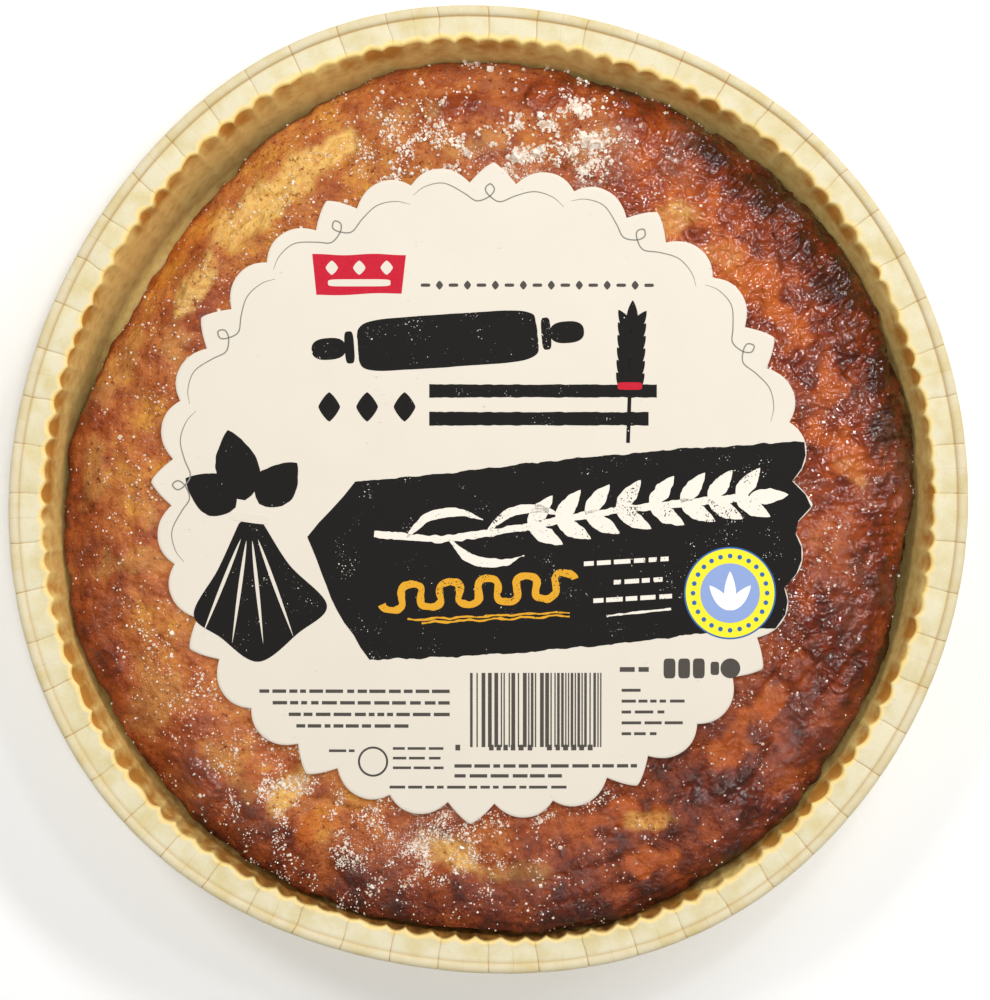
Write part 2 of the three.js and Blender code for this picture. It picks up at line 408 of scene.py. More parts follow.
def baking_paper(settings):
    """Pressed greaseproof paper: matt pale cream with soft mottling where it is dry. Butter makes the
    wall darker, yellower and slightly shiny, and runs along the pressed creases as thin brown lines.
    The wall's colour also holds painted light and shade: near-white yellow low down is painted light,
    darker brown under the flange and on the outward folds of the pleats is painted shade, partly real
    browning; a painted shadow line runs along the foot of the rolled rim, and painted shade with some
    charred sugar darkens the front wall where the cake leans on it."""
    material, tree = new_material("pressed_greaseproof_paper")
    place = add(tree, PLACE, out="Object")
    soak, browned_and_shaded, crease, scorch_and_shade = (
        add(tree, STORED, out="Fac", attribute_name=name) for name in ("soak", "browned_and_shaded", "crease", "scorch_and_shade")
    )
    mottle = add(tree, NOISE, (place, None, 1 / (6 * MM), 4, 0.55))
    streak = add(tree, NOISE, (place, None, 1 / (2.2 * MM), 3, 0.55))
    fibre = add(tree, NOISE, (place, None, 1 / (0.5 * MM), 3, 0.7))

    shade = add(tree, RANGE, (mottle, 0.42, 0.68))
    paper, paper_shade = rgba(settings.paper), rgba(settings.paper_shade)
    dry = add(tree, MIX, {SHARE: shade, FIRST: paper, SECOND: paper_shade}, MIXED, **COLOUR)
    shade = add(tree, RANGE, (add(tree, MATH, (streak, browned_and_shaded), **PLUS), 0.55, 1.25))
    soaked, browned_and_shaded_paper = rgba(settings.soaked), rgba(settings.browned_and_shaded_paper)
    # Painted light and shade: the pale colour of the lower wall and the darker brown under the flange.
    buttery_lit_and_shaded = add(tree, MIX, {SHARE: shade, FIRST: soaked, SECOND: browned_and_shaded_paper}, MIXED, **COLOUR)
    wet = add(tree, RANGE, (add(tree, MATH, (soak, streak), **PLUS), 0.75, 1.2))
    colour = add(tree, MIX, {SHARE: wet, FIRST: dry, SECOND: buttery_lit_and_shaded}, MIXED, **COLOUR)
    # The crease colour is also laid along the foot of the rolled rim as a painted shadow.
    colour = add(tree, MIX, {SHARE: crease, FIRST: colour, SECOND: rgba(settings.crease)}, MIXED, **COLOUR)
    fibrous = add(tree, RANGE, (fibre, 0.3, 0.7, 0, 0.22))
    colour = add(tree, MIX, {SHARE: fibrous, FIRST: colour, SECOND: rgba(FIBRE_TINT)}, MIXED, **MULTIPLIED)
    # Painted shade of the front crevice, with some charred sugar.
    burnt_and_shaded = add(tree, MATH, (scorch_and_shade, add(tree, RANGE, (streak, 0.3, 0.6, 0.5, 1))), **TIMES)
    colour = add(tree, MIX, {SHARE: burnt_and_shaded, FIRST: colour, SECOND: rgba(settings.scorched_and_shaded)}, MIXED, **COLOUR)

    bump = add(tree, BUMP, {"Strength": 0.25, "Distance": 0.08 * MM, "Height": fibre})
    roughness = add(tree, RANGE, (wet, 0, 1, 0.62, 0.38))
    surface = add(tree, SURFACE, {"Base Color": colour, "Roughness": roughness, "Normal": bump})
    add(tree, OUTPUT, {"Surface": surface})
    return material


def folded(tree, vector, size, width):
    """Round-crested folds: 1 along the lines where a smooth noise is at its middle, 0 away from them."""
    noise = add(tree, NOISE, (vector, None, 1 / size, 1.0, 0.4))
    away = add(tree, MATH, (noise, 0.5), operation="SUBTRACT")
    away = add(tree, MATH, (away,), operation="ABSOLUTE")
    return add(tree, RANGE, (away, 0, width, 1, 0), interpolation_type="SMOOTHSTEP")


def caramel_crust(settings):
    """Laminated butter dough baked in sugar: matt golden crumb with fine pores where it stayed dry,
    red-brown glassy caramel whose skin has shrunk into folds where the sugar melted, and a dull pale
    lilac-brown between them that is partly fine sugar and partly a painted sheen."""
    material, tree = new_material("baked_caramel_crust")
    place = add(tree, PLACE, out="Object")
    skin = add(tree, "ShaderNodeUVMap", uv_map="skin")
    bake, wet, gold, amber, haze_and_sheen, frost, wrinkle = (
        add(tree, STORED, out="Fac", attribute_name=name)
        for name in ("bake", "wet", "gold", "amber", "haze_and_sheen", "frost", "wrinkle")
    )
    coarse = add(tree, NOISE, (place, None, 1 / (5 * MM), 3, 0.55))
    swell = add(tree, NOISE, (place, None, 1 / (3.2 * MM), 1, 0.5))
    middling = add(tree, NOISE, (place, None, 1 / (1.6 * MM), 4, 0.6))
    pits = add(tree, NOISE, (place, None, 1 / (1.1 * MM), 2, 0.6))
    crumb = add(tree, NOISE, (place, None, 1 / (0.5 * MM), 3, 0.7))
    dust = add(tree, NOISE, (place, None, 1 / (0.36 * MM), 3, 0.7))

    # Browning runs from golden to nearly black, broken up by three sizes of mottling. The finest of
    # them is fainter where the crust is wet.
    speckle = add(tree, RANGE, (crumb, 0.2, 0.8, -0.17, 0.17))
    speckle = add(tree, MATH, (speckle, add(tree, RANGE, (wet, 0, 1, 1, 0.35))), **TIMES)
    baked = add(tree, MATH, (bake, speckle), **PLUS)
    for mottling, reach in ((coarse, 0.2), (middling, 0.16)):
        baked = add(tree, MATH, (baked, add(tree, RANGE, (mottling, 0.2, 0.8, -reach, reach))), **PLUS)
    stops = (
        (0.0, settings.golden),
        (0.28, settings.tan),
        (0.52, settings.brown),
        (0.78, settings.russet),
        (1.0, settings.dark),
    )
    colour = add(tree, "ShaderNodeValToRGB", (baked,), stops=stops)
    # Melted sugar lets less green and blue back out than dry crust does.
    colour = add(tree, MIX, {SHARE: wet, FIRST: colour, SECOND: rgba(MELTED_TINT)}, MIXED, **MULTIPLIED)
    crumbly = add(tree, MATH, (gold, add(tree, RANGE, (middling, 0.34, 0.58, 0.3, 1))), **TIMES)
    clear = add(tree, MATH, (amber, add(tree, RANGE, (coarse, 0.34, 0.62, 0.2, 1))), **TIMES)
    # Painted sheen, partly sugar: a pale lilac-brown laid over the caramel in patches.
    bloom_and_sheen = add(tree, MATH, (haze_and_sheen, add(tree, RANGE, (middling, 0.38, 0.62))), **TIMES)
    bloom_and_sheen = add(tree, MATH, (bloom_and_sheen, add(tree, RANGE, (dust, 0.35, 0.6, 0.25, 1))), **TIMES)
    for share, tint in ((crumbly, settings.dough), (clear, settings.amber), (bloom_and_sheen, settings.haze_and_sheen)):
        colour = add(tree, MIX, {SHARE: share, FIRST: colour, SECOND: rgba(tint)}, MIXED, **COLOUR)
    pore = add(tree, RANGE, (pits, 0.4, 0.28))
    pore = add(tree, MATH, (pore, add(tree, RANGE, (wet, 0.2, 0.8, 0.9, 0.4))), **TIMES)
    colour = add(tree, MIX, {SHARE: pore, FIRST: colour, SECOND: rgba(PORE_TINT)}, MIXED, **MULTIPLIED)
    frosted = add(tree, MATH, (dust, add(tree, RANGE, (frost, 0, 1, -0.22, 0.04))), **PLUS)
    frosted = add(tree, RANGE, (frosted, 0.53, 0.63))
    colour = add(tree, MIX, {SHARE: frosted, FIRST: colour, SECOND: rgba(settings.sugar)}, MIXED, **COLOUR)

    # Dry crust is rough at every size. Melted sugar is smooth between the folds of its shrunken skin,
    # which run down the shoulder and criss-cross on the flatter crust. Heights are in millimetres.
    stretched = add(tree, MAPPING, {"Vector": skin, "Scale": (1, 0.25, 1)})
    shoulder = add(tree, MATH, (folded(tree, stretched, 2.6 * MM, 0.24), wrinkle), **TIMES)
    needles = folded(tree, place, 1.9 * MM, 0.2)
    film = add(tree, MATH, (folded(tree, place, 4.5 * MM, 0.1), 0.22), **TIMES)
    for part, share in ((swell, 1.1), (shoulder, 0.62), (needles, 0.16)):
        film = add(tree, MATH, (film, add(tree, MATH, (part, share), **TIMES)), **PLUS)
    grainy = add(tree, MATH, (crumb, 0.22), **TIMES)
    for part, share in ((middling, 1.2), (frosted, 0.08), (pore, -0.25)):
        grainy = add(tree, MATH, (grainy, add(tree, MATH, (part, share), **TIMES)), **PLUS)
    height = add(tree, MIX, (add(tree, RANGE, (wet, 0, 0.9, 0.12, 1)), None, grainy, film))
    bump = add(tree, BUMP, {"Strength": 1.0, "Distance": MM, "Height": height})

    dry_roughness = add(tree, RANGE, (middling, 0.3, 0.7, 0.45, 0.65))
    gloss = add(tree, RANGE, (wet, 0, 1, 0.15, 1))
    gloss = add(tree, MATH, (gloss, add(tree, RANGE, (frosted, 0, 1, 1, 0.1))), **TIMES)
    inputs = {
        "Base Color": colour,
        "Roughness": add(tree, MIX, (wet, None, dry_roughness, 0.4)),
        "Normal": bump,
        "Specular IOR Level": 0.15,
        "Coat Weight": gloss,
        "Coat Roughness": 0.03,
        "Coat IOR": 1.46,
        "Coat Normal": bump,
    }
    add(tree, OUTPUT, {"Surface": add(tree, SURFACE, inputs)})
    return material


def sugar_crystal(settings):
    """Coarse white sugar: small clear crystals whose faces flash and whose broken edges look white.
    Some have drunk caramel."""
    material, tree = new_material("coarse_sugar_crystals")
    place = add(tree, PLACE, out="Object")
    group = add(tree, NOISE, (place, None, 1 / (1.2 * MM), 2, 0.55))
    stain = add(tree, RANGE, (group, 0.46, 0.66, 0, 0.8))
    sugar, stained = rgba(settings.sugar), rgba(STAINED_SUGAR)
    colour = add(tree, MIX, {SHARE: stain, FIRST: sugar, SECOND: stained}, MIXED, **COLOUR)
    add(tree, OUTPUT, {"Surface": add(tree, SURFACE, {"Base Color": colour, "Roughness": 0.12})})
    return material


def uncoated_card(settings):
    """Uncoated recycled card: matt cream with sparse short grey and ochre fibres and a faint tooth."""
    material, tree = new_material("uncoated_card")
    place = add(tree, PLACE, out="Object")
    lying = add(tree, MAPPING, {"Vector": place, "Scale": (0.45, 1, 1)})
    fibre = add(tree, RANGE, (add(tree, NOISE, (lying, None, 1 / (0.8 * MM), 2, 0.5)), 0.7, 0.78))
    sparse = add(tree, RANGE, (add(tree, NOISE, (place, None, 1 / (5 * MM), 2, 0.55)), 0.5, 0.62, 0, 0.7))
    fleck = add(tree, MATH, (fibre, sparse), **TIMES)
    tone = add(tree, RANGE, (add(tree, NOISE, (place, None, 1 / (14 * MM), 3, 0.55)), 0.35, 0.7, 0, 0.25))
    card, aged = rgba(settings.card), rgba(AGED_CARD)
    colour = add(tree, MIX, {SHARE: tone, FIRST: card, SECOND: aged}, MIXED, **COLOUR)
    colour = add(tree, MIX, {SHARE: fleck, FIRST: colour, SECOND: rgba(settings.fleck)}, MIXED, **COLOUR)
    tooth = add(tree, NOISE, (place, None, 1 / (0.3 * MM), 3, 0.6))
    bump = add(tree, BUMP, {"Strength": 0.12, "Distance": 0.05 * MM, "Height": tooth})
    surface = add(tree, SURFACE, {"Base Color": colour, "Roughness": 0.72, "Normal": bump})
    add(tree, OUTPUT, {"Surface": surface})
    return material


def flat_ink(name, colour):
    """Litho ink on uncoated card: matt, even, with a trace of the card's tooth in its depth."""
    material, tree = new_material(name)
    place = add(tree, PLACE, out="Object")
    tooth = add(tree, NOISE, (place, None, 1 / (0.35 * MM), 2, 0.55))
    bare = add(tree, RANGE, (tooth, 0.3, 0.7, 0, 0.02))
    ink, card = rgba(colour), rgba(CARD_THROUGH_INK)
    shown = add(tree, MIX, {SHARE: bare, FIRST: ink, SECOND: card}, MIXED, **COLOUR)
    surface = add(tree, SURFACE, {"Base Color": shown, "Roughness": 0.7, "Specular IOR Level": 0.2})
    add(tree, OUTPUT, {"Surface": surface})
    return material


def worn_ink(name, colour, under, size, share):
    """Ink printed from a chalk or worn-block drawing: specks of what lies under it show through, in
    loose groups. size is a speck's width, and specks are rarer the higher share is."""
    material, tree = new_material(name)
    place = add(tree, PLACE, out="Object")
    speck = add(tree, NOISE, (place, None, 1 / size, 2, 0.6))
    group = add(tree, NOISE, (place, None, 1 / (14 * size), 2, 0.55))
    grouped = add(tree, RANGE, (group, 0.3, 0.7, -0.12, 0.12))
    missing = add(tree, RANGE, (add(tree, MATH, (speck, grouped), **PLUS), share, share + 0.03))
    shown = add(tree, MIX, {SHARE: missing, FIRST: rgba(colour), SECOND: rgba(under)}, MIXED, **COLOUR)
    surface = add(tree, SURFACE, {"Base Color": shown, "Roughness": 0.75, "Specular IOR Level": 0.2})
    add(tree, OUTPUT, {"Surface": surface})
    return material


def plain_floor(settings):
    """Smooth white studio board, very slightly uneven in tone."""
    material, tree = new_material("white_studio_board")
    place = add(tree, PLACE, out="Object")
    tone = add(tree, RANGE, (add(tree, NOISE, (place, None, 1 / 0.4, 1, 0.55)), 0, 1, 0, 0.02))
    board, shade = rgba(settings.floor), rgba(FLOOR_SHADE)
    colour = add(tree, MIX, {SHARE: tone, FIRST: board, SECOND: shade}, MIXED, **COLOUR)
    add(tree, OUTPUT, {"Surface": add(tree, SURFACE, {"Base Color": colour, "Roughness": 0.8})})
    return material


# ------------------------------------------------------------------ the mould


def wander_share(z, settings):
    """How much of the outline's wander reaches a height: none at the base, all at the flange."""
    return np.clip(z / settings.flange_height, 0, 1)


def flute_half_depth(z, settings):
    """Half the pleat depth at a height: a tenth of the full depth at the foot, and growing as z^8."""
    return settings.flute_depth * mix(0.1, 1, np.clip(z / settings.flange_height, 0, 1) ** 8) / 2


def inner_wall(angle, z, settings):
    """Radius of the wall's innermost pleats at a height."""
    rise = (z - 2 * settings.thickness) / (settings.flange_height - 2 * settings.thickness)
    middle = mix(settings.wall_foot, settings.wall_top, rise)
    return middle - flute_half_depth(z, settings) + waves(MOULD_WANDER, angle) * wander_share(z, settings)


# How far butter has crept into the flange; how brown the wall is, partly real browning and partly
# painted shade; how much painted shade, with some charred sugar, darkens the front wall; and how dark
# the painted shadow along the foot of the rim is; as (angle in degrees, value) knots round the mould.
BUTTER_CREEP = ((0, 0.05), (60, 0.15), (95, 0.55), (120, 0.2), (180, 0.1), (300, 0.3), (340, 0.1))
WALL_BROWNING_AND_SHADE = ((30, 0.1), (100, 0.05), (150, 0), (200, 0.25), (270, 0.5), (330, 0.1))
BURNT_SUGAR_AND_SHADE = ((0, 0), (205, 0), (222, 0.3), (245, 0.8), (285, 0.95), (302, 0.4), (318, 0))
RIM_SHADOW = ((20, 0.6), (60, 0.85), (110, 0.8), (150, 0.6), (210, 0.35), (270, 0.4), (330, 0.5))
# Places across a pleat, as shares of it. They crowd together at the crease, which is a narrow groove.
PLEAT_STEPS = (0, 0.03, 0.08, 0.19, 0.31, 0.41, 0.5, 0.59, 0.69, 0.81, 0.92, 0.97)


def mould_profile(settings):
    """The section from the middle of the base inside, up the wall, out over the flange, round the
    rolled rim and back below. Columns are radius, height, pleat share, crease share and soak."""
    t, top = settings.thickness, settings.flange_height
    corner = 2 * t
    rows = [(r * settings.base_radius, t, 0, 0, 1) for r in (0.3, 0.6, 0.85, 0.97)]
    rows.append((settings.base_radius - t, t, 0, 0, 1))
    for rise in (0, 0.15, 0.3, 0.42, 0.54, 0.64, 0.73, 0.81, 0.88, 0.94):
        height = mix(corner, top, rise)
        rows.append((mix(settings.wall_foot, settings.wall_top, rise), height, 1, 0, 1))
    # The flange turns off the wall through a small rounded edge.
    turn = settings.wall_top
    rows.append((turn - 0.1 * MM, top - 0.75 * MM, 1, 0.0, 0.95))
    rows.append((turn + 0.1 * MM, top - 0.28 * MM, 1, 0.3, 0.8))
    rows.append((turn + 0.5 * MM, top - 0.04 * MM, 0.85, 0.8, 0.5))
    for out in np.linspace(1.0, 4.9, 8):
        fade = 1 - smoothstep(out, 0.6, 2.6)
        rows.append((turn + out * MM, top, float(fade), 1, 0.35 * float(fade)))
    # The rolled rim is a flattened bead: an arc from the flange, over the outside, to underneath.
    middle_r, middle_z = settings.flange_edge + settings.rim_radius, top - 0.32 * MM
    rows.append((settings.flange_edge - 0.15 * MM, top - 0.05 * MM, 0, 1, 0.2))
    for degrees in np.linspace(160, -150, 15):
        a = math.radians(degrees)
        out, up = settings.rim_radius * math.cos(a), settings.rim_rise * math.sin(a)
        rows.append((middle_r + out, middle_z + up, 0, 0.8, 0))
    under = top - t
    for out in (5.0, 3.6, 2.2, 1.2):
        fade = 1 - smoothstep(out, 0.6, 2.6)
        rows.append((turn + out * MM, under, float(fade), 0, 0))
    for rise in (0.97, 0.8, 0.62, 0.45, 0.28, 0.12, 0):
        height = mix(corner, under, rise)
        rows.append((mix(settings.wall_foot, settings.wall_top, rise) + t, height, 1, 0, 0.35))
    rows.append((settings.base_radius, 0, 0, 0, 0.5))
    rows += [(r * settings.base_radius, 0, 0, 0, 0.5) for r in (0.95, 0.7, 0.35)]
    return np.array(rows, float).T


def mould_rings(settings):
    """The mould as rings of points: its section turned round, pleated by a rounded cosine whose narrow
    side points inwards, nicked at each crease, and widened by the outline's slow waves."""
    radius, height, pleat, crease, soak = mould_profile(settings)
    pitch = 2 * math.pi / settings.flutes
    flute = np.repeat(np.arange(settings.flutes), len(PLEAT_STEPS))
    within = np.tile(PLEAT_STEPS, settings.flutes)
    angle = (flute + within) * pitch
    random = np.random.default_rng(11)
    strength = random.uniform(0.0, 0.22, settings.flutes)
    strength[::2] += random.uniform(0.4, 0.65, settings.flutes // 2)
    nick = np.where(within == 0, strength[flute], 0.0)
    shifted = angle + 0.13 * pitch * soft_noise(angle / pitch * 1.3, angle * 0, 7)
    lobe = 2 * np.abs(np.cos(settings.flutes * shifted / 2)) ** 0.8 - 1
    uneven = 0.78 + 0.5 * soft_noise(angle / pitch * 0.83, angle * 0, 3)

    radius, height = radius[:, None], height[:, None]
    pleat, crease, soak = pleat[:, None], crease[:, None], soak[:, None]
    swell = waves(MOULD_WANDER, angle) * wander_share(height, settings)
    out = radius + pleat * flute_half_depth(height, settings) * lobe * uneven.clip(0.2, 1) + swell
    on_bead = radius > settings.flange_edge
    out = out - np.where(on_bead, 0.15 * MM * nick, 0)
    up = height - 0.14 * MM * nick * crease * (height > settings.flange_height / 2)
    # Between two strong creases the flange is puffed up a little, like a pillow.
    on_flange = smoothstep(radius, settings.wall_top, settings.wall_top + 2 * MM)
    pillow = 0.3 * MM * np.abs(np.sin(settings.flutes / 4 * angle)) ** 0.6 * on_flange
    ripple = 0.12 * MM * soft_noise(angle * 9, angle * 0, 5) * on_flange
    up = up + pillow + ripple - 0.3 * MM * on_flange
    # The creases waver a little on their way outwards.
    waver = 0.0028 * soft_noise(radius / (4 * MM), angle / pitch * 0.5, 9) * on_flange
    rings = np.stack([out * np.cos(angle + waver), out * np.sin(angle + waver), up], axis=-1)

    # Butter has crept out of the wall into the flange, most of all at the back.
    degrees = np.degrees(angle)
    creep = round_value(BUTTER_CREEP, degrees)
    soaked = soak + creep * smoothstep(-radius, -settings.wall_top - 2.2 * MM, -settings.wall_top)
    # Painted shade, partly real browning: a darker band under the flange, darkest on the outward folds of the
    # pleats where the flange shades the wall, and darker at the front.
    band = smoothstep(height, 0.68 * settings.flange_height, 0.92 * settings.flange_height)
    lobe_shade_and_dabs = 0.3 + 0.35 * lobe * uneven + 0.5 * soft_noise(angle / pitch * 0.7, height / (4 * MM), 13)
    browned_and_shaded = mix(0.1, lobe_shade_and_dabs, band) + round_value(WALL_BROWNING_AND_SHADE, degrees)
    # Painted shade, with some charred sugar: the front wall is darkened where the cake leans on it.
    scorch_and_shade = round_value(BURNT_SUGAR_AND_SHADE, degrees)
    line = nick * crease * (soak < 0.9)
    line = line * mix(1, 1.7, smoothstep(radius, 99 * MM, 100.2 * MM))
    upper = height > 20 * MM
    # Painted shadow: a dark line in the crease colour along the foot of the rolled rim, where the rim shades
    # the flange, darkest at the back.
    rim_shadow_line = np.exp(-(((radius - settings.flange_edge) / (0.2 * MM)) ** 2)) * upper
    rim_shadow_line = rim_shadow_line * round_value(RIM_SHADOW, degrees)
    fields = {
        "soak": np.clip(soaked, 0, 1),
        "browned_and_shaded": np.where(soak > 0.85, browned_and_shaded, 0),
        "scorch_and_shade": scorch_and_shade * smoothstep(soak, 0.45, 0.95),
        "crease": np.clip(line + rim_shadow_line + 0.13 * on_bead * upper, 0, 1),
    }
    return rings, {name: np.broadcast_to(field, out.shape) for name, field in fields.items()}


def paint_all(made, fields):
    """Paints each field of a ring solid, and gives its two poles the value of the nearest ring."""
    for name, field in fields.items():
        paint(made, name, np.concatenate([field.ravel(), [field[0, 0], field[-1, 0]]]))


# ------------------------------------------------------------------ the cake

# What the crust is like round the cake, as (angle in degrees, value) knots: how brown it is inside
# and outside the shoulder, how wet with melted sugar, how frosted, how much dull pale film it has, partly
# sugar and partly a painted sheen, and how ledged.
BAKE_INSIDE = (
    (0, 0.6), (30, 0.56), (45, 0.54), (60, 0.46), (80, 0.46), (105, 0.36), (125, 0.24), (145, 0.44),
    (165, 0.34), (190, 0.27), (215, 0.24), (240, 0.32), (255, 0.42), (280, 0.56), (300, 0.88),
    (325, 0.76), (345, 0.66),
)
BAKE_OUTSIDE = (
    (0, 0.84), (25, 0.9), (45, 0.86), (65, 0.64), (85, 0.5), (105, 0.36), (125, 0.22), (145, 0.28),
    (165, 0.44), (185, 0.66), (215, 0.5), (235, 0.74), (252, 0.78), (280, 0.8), (310, 0.84),
    (335, 0.78), (350, 0.8),
)
WETNESS = (
    (0, 0.9), (25, 1.4), (60, 1.3), (75, 0.45), (100, 0.15), (125, 0.12), (150, 0.3), (200, 0.3),
    (250, 0.2), (290, 0.35), (310, 0.45), (345, 0.75),
)
FROST = (
    (0, 0.25), (20, 0.05), (50, 0.15), (62, 0.55), (80, 1.0), (98, 0.7), (112, 0.24), (135, 0.1),
    (180, 0.1), (215, 0.2), (235, 0.5), (258, 0.8), (275, 0.5), (295, 0.15), (330, 0.12),
)
HAZE_AND_SHEEN = (
    (0, 0.45), (20, 0.25), (40, 0.1), (70, 0.75), (100, 0.2), (160, 0.15), (200, 0.3), (240, 0.3),
    (280, 0.05), (320, 0.1), (345, 0.3),
)
LEDGES = ((0, 0.3), (60, 0.35), (110, 0.5), (180, 0.3), (240, 0.5), (280, 1), (330, 0.9))

# Patches of the crust as (x, y, turn, half length, half width), in mm and degrees.
DOUGH_SPOTS = (
    (-39, 68, 38, 14, 4.4), (-50, 60, 40, 10, 4.4), (-62, 43, 60, 8, 3), (-33, 73, 30, 8, 3),
    (40, 58.5, 25, 5, 3), (-42, -62.5, 50, 6.5, 3.4), (-8, -76, -35, 9, 3.5),
    (33, -69.5, 5, 6, 2.2),
)
# The second faint spot, at (-76, -15), is partly a paler ledge and partly a painted highlight along it.
FAINT_DOUGH_SPOTS = (
    (-71.5, -6.5, 70, 4, 2), (-76, -15, 8, 9, 3), (-66, 33, 80, 7, 3), (21, 73, 0, 6, 4),
    (50, 50.5, 5, 4, 2), (-84, 3, 80, 7, 2.4), (-70, -44, 40, 8, 4), (-79, 26, 60, 8, 3),
    (-55, -58, -50, 9, 3), (8, -80, 0, 8, 2.5), (-20, 80, 5, 9, 3), (-3, 74, 10, 8, 3),
    (77, 4, -30, 6, 2),
)
AMBER_SPOTS = (
    (74, 7, -20, 10, 5), (29, -69.5, 0, 9, 4), (56, 45, -50, 12, 5), (64, 36, -60, 9, 4),
    (43, 60, 20, 7, 4), (72, 24, -70, 7, 4), (-36, -70, 30, 6, 3), (52, -53, 60, 5, 3.4),
    (60, -44, 70, 4, 2.4), (34, -78, 15, 5, 2.5), (67, -23, 80, 5, 2.4), (-66, 52, 50, 9, 3),
)
BLISTERS = (
    (13, 85, 20, 6, 3.6), (31, 81, -25, 6, 3.6), (-6, 82, 10, 6, 3), (47, 74, -30, 8, 3.4),
    (73, -63, -60, 4, 2), (-60, -60, -45, 6, 2.5), (83, 12, 80, 7, 3), (84, 27, 70, 6, 3),
    (63, -66, 40, 5, 2.5), (-86, 20, 80, 6, 3),
)
# The power of the shoulder's superellipse.
SHOULDER_SQUARENESS = 2.3
FOOT_HEIGHT = 0.9 * MM
# The cake's foot in mm: the section from its lowest bulge round the corner to the middle.
CAKE_FOOT = ((86.6, 2.4), (85.1, 0.9), (0, 0.9))
CAKE_COLUMNS = 1000


def cake_section(settings):
    """Radius and height down the cake's section as two arrays, with the way along it: a shallow
    paraboloid, a quarter of a superellipse, then straight to the foot and in along the bottom."""
    edge = settings.crown_height - settings.crown_fall
    inner = np.linspace(0, settings.shoulder_start, 300)
    fall = settings.crown_fall * (inner / settings.shoulder_start) ** 2
    crown = np.stack([inner, settings.crown_height - fall])
    turn = np.linspace(0, math.pi / 2, 300)[1:]
    out = np.sin(turn) ** (2 / SHOULDER_SQUARENESS)
    up = np.cos(turn).clip(0, 1) ** (2 / SHOULDER_SQUARENESS)
    shoulder = np.stack(
        [mix(settings.shoulder_start, settings.radius, out), mix(settings.shoulder_height, edge, up)]
    )
    foot = np.array(CAKE_FOOT).T * MM
    section = np.concatenate([crown, shoulder, foot], axis=1)
    way = np.concatenate([[0], np.cumsum(np.hypot(*np.diff(section, axis=1)))])
    return section, way


def crust_relief(x, y, angle, way, settings):
    """Height of the crust over its smooth form. Broad lumps, ledges where a layer of dough ends,
    blisters and fine grain are added up, and kept low under the label."""
    degrees = np.degrees(angle) % 360
    wet = round_value(WETNESS, degrees)
    lumps = 0.85 * MM * rough(x, y, 15 * MM, 2, 21)
    knobs = 0.52 * MM * rough(x, y, 5 * MM, 2, 31)
    grain = (0.19 + 0.03 * wet) * MM * rough(x, y, 1.7 * MM, 2, 41)
    # A ledge rises slowly outwards and then drops, like the edge of a folded layer.
    phase = way / (6.5 * MM) + 0.9 * soft_noise(x / (22 * MM), y / (22 * MM), 51) + degrees / 120
    saw = phase - np.floor(phase)
    ledge = np.where(saw < 0.8, saw / 0.8, (1 - saw) / 0.2)
    ledges = 0.75 * MM * (ledge - 0.5) * round_value(LEDGES, degrees)
    ledges = ledges * smoothstep(rough(x, y, 18 * MM, 1, 61), -0.5, 0.4)
    bubbles = sum(patch(x, y, spot, 0) for spot in BLISTERS) * 0.9 * MM
    hollows = -0.7 * MM * sum(patch(x, y, spot, 0.2 * knobs / MM) for spot in DOUGH_SPOTS)
    # Short folds of the shrunken caramel skin run down the glossy shoulder.
    across = degrees * 0.55 + 2 * soft_noise(x / (4 * MM), y / (4 * MM), 71)
    folds = 0.35 * MM * (1 - 2 * np.abs(soft_noise(across, way / (7 * MM), 81)))
    folds = folds * wet * smoothstep(way, 74 * MM, 82 * MM) * near_angle(degrees, 35, 75, 45)
    relief = (lumps + knobs + grain + ledges + bubbles + hollows + folds) * settings.relief
    past_label = smoothstep(way, 63 * MM, 72 * MM)
    relief = relief * mix(0.12, 1, past_label)
    most = 0.25 * MM + 3 * MM * smoothstep(way, 69 * MM, 75 * MM)
    on_top = 1 - smoothstep(way, 98 * MM, 104 * MM)
    return np.minimum(relief, most) * on_top


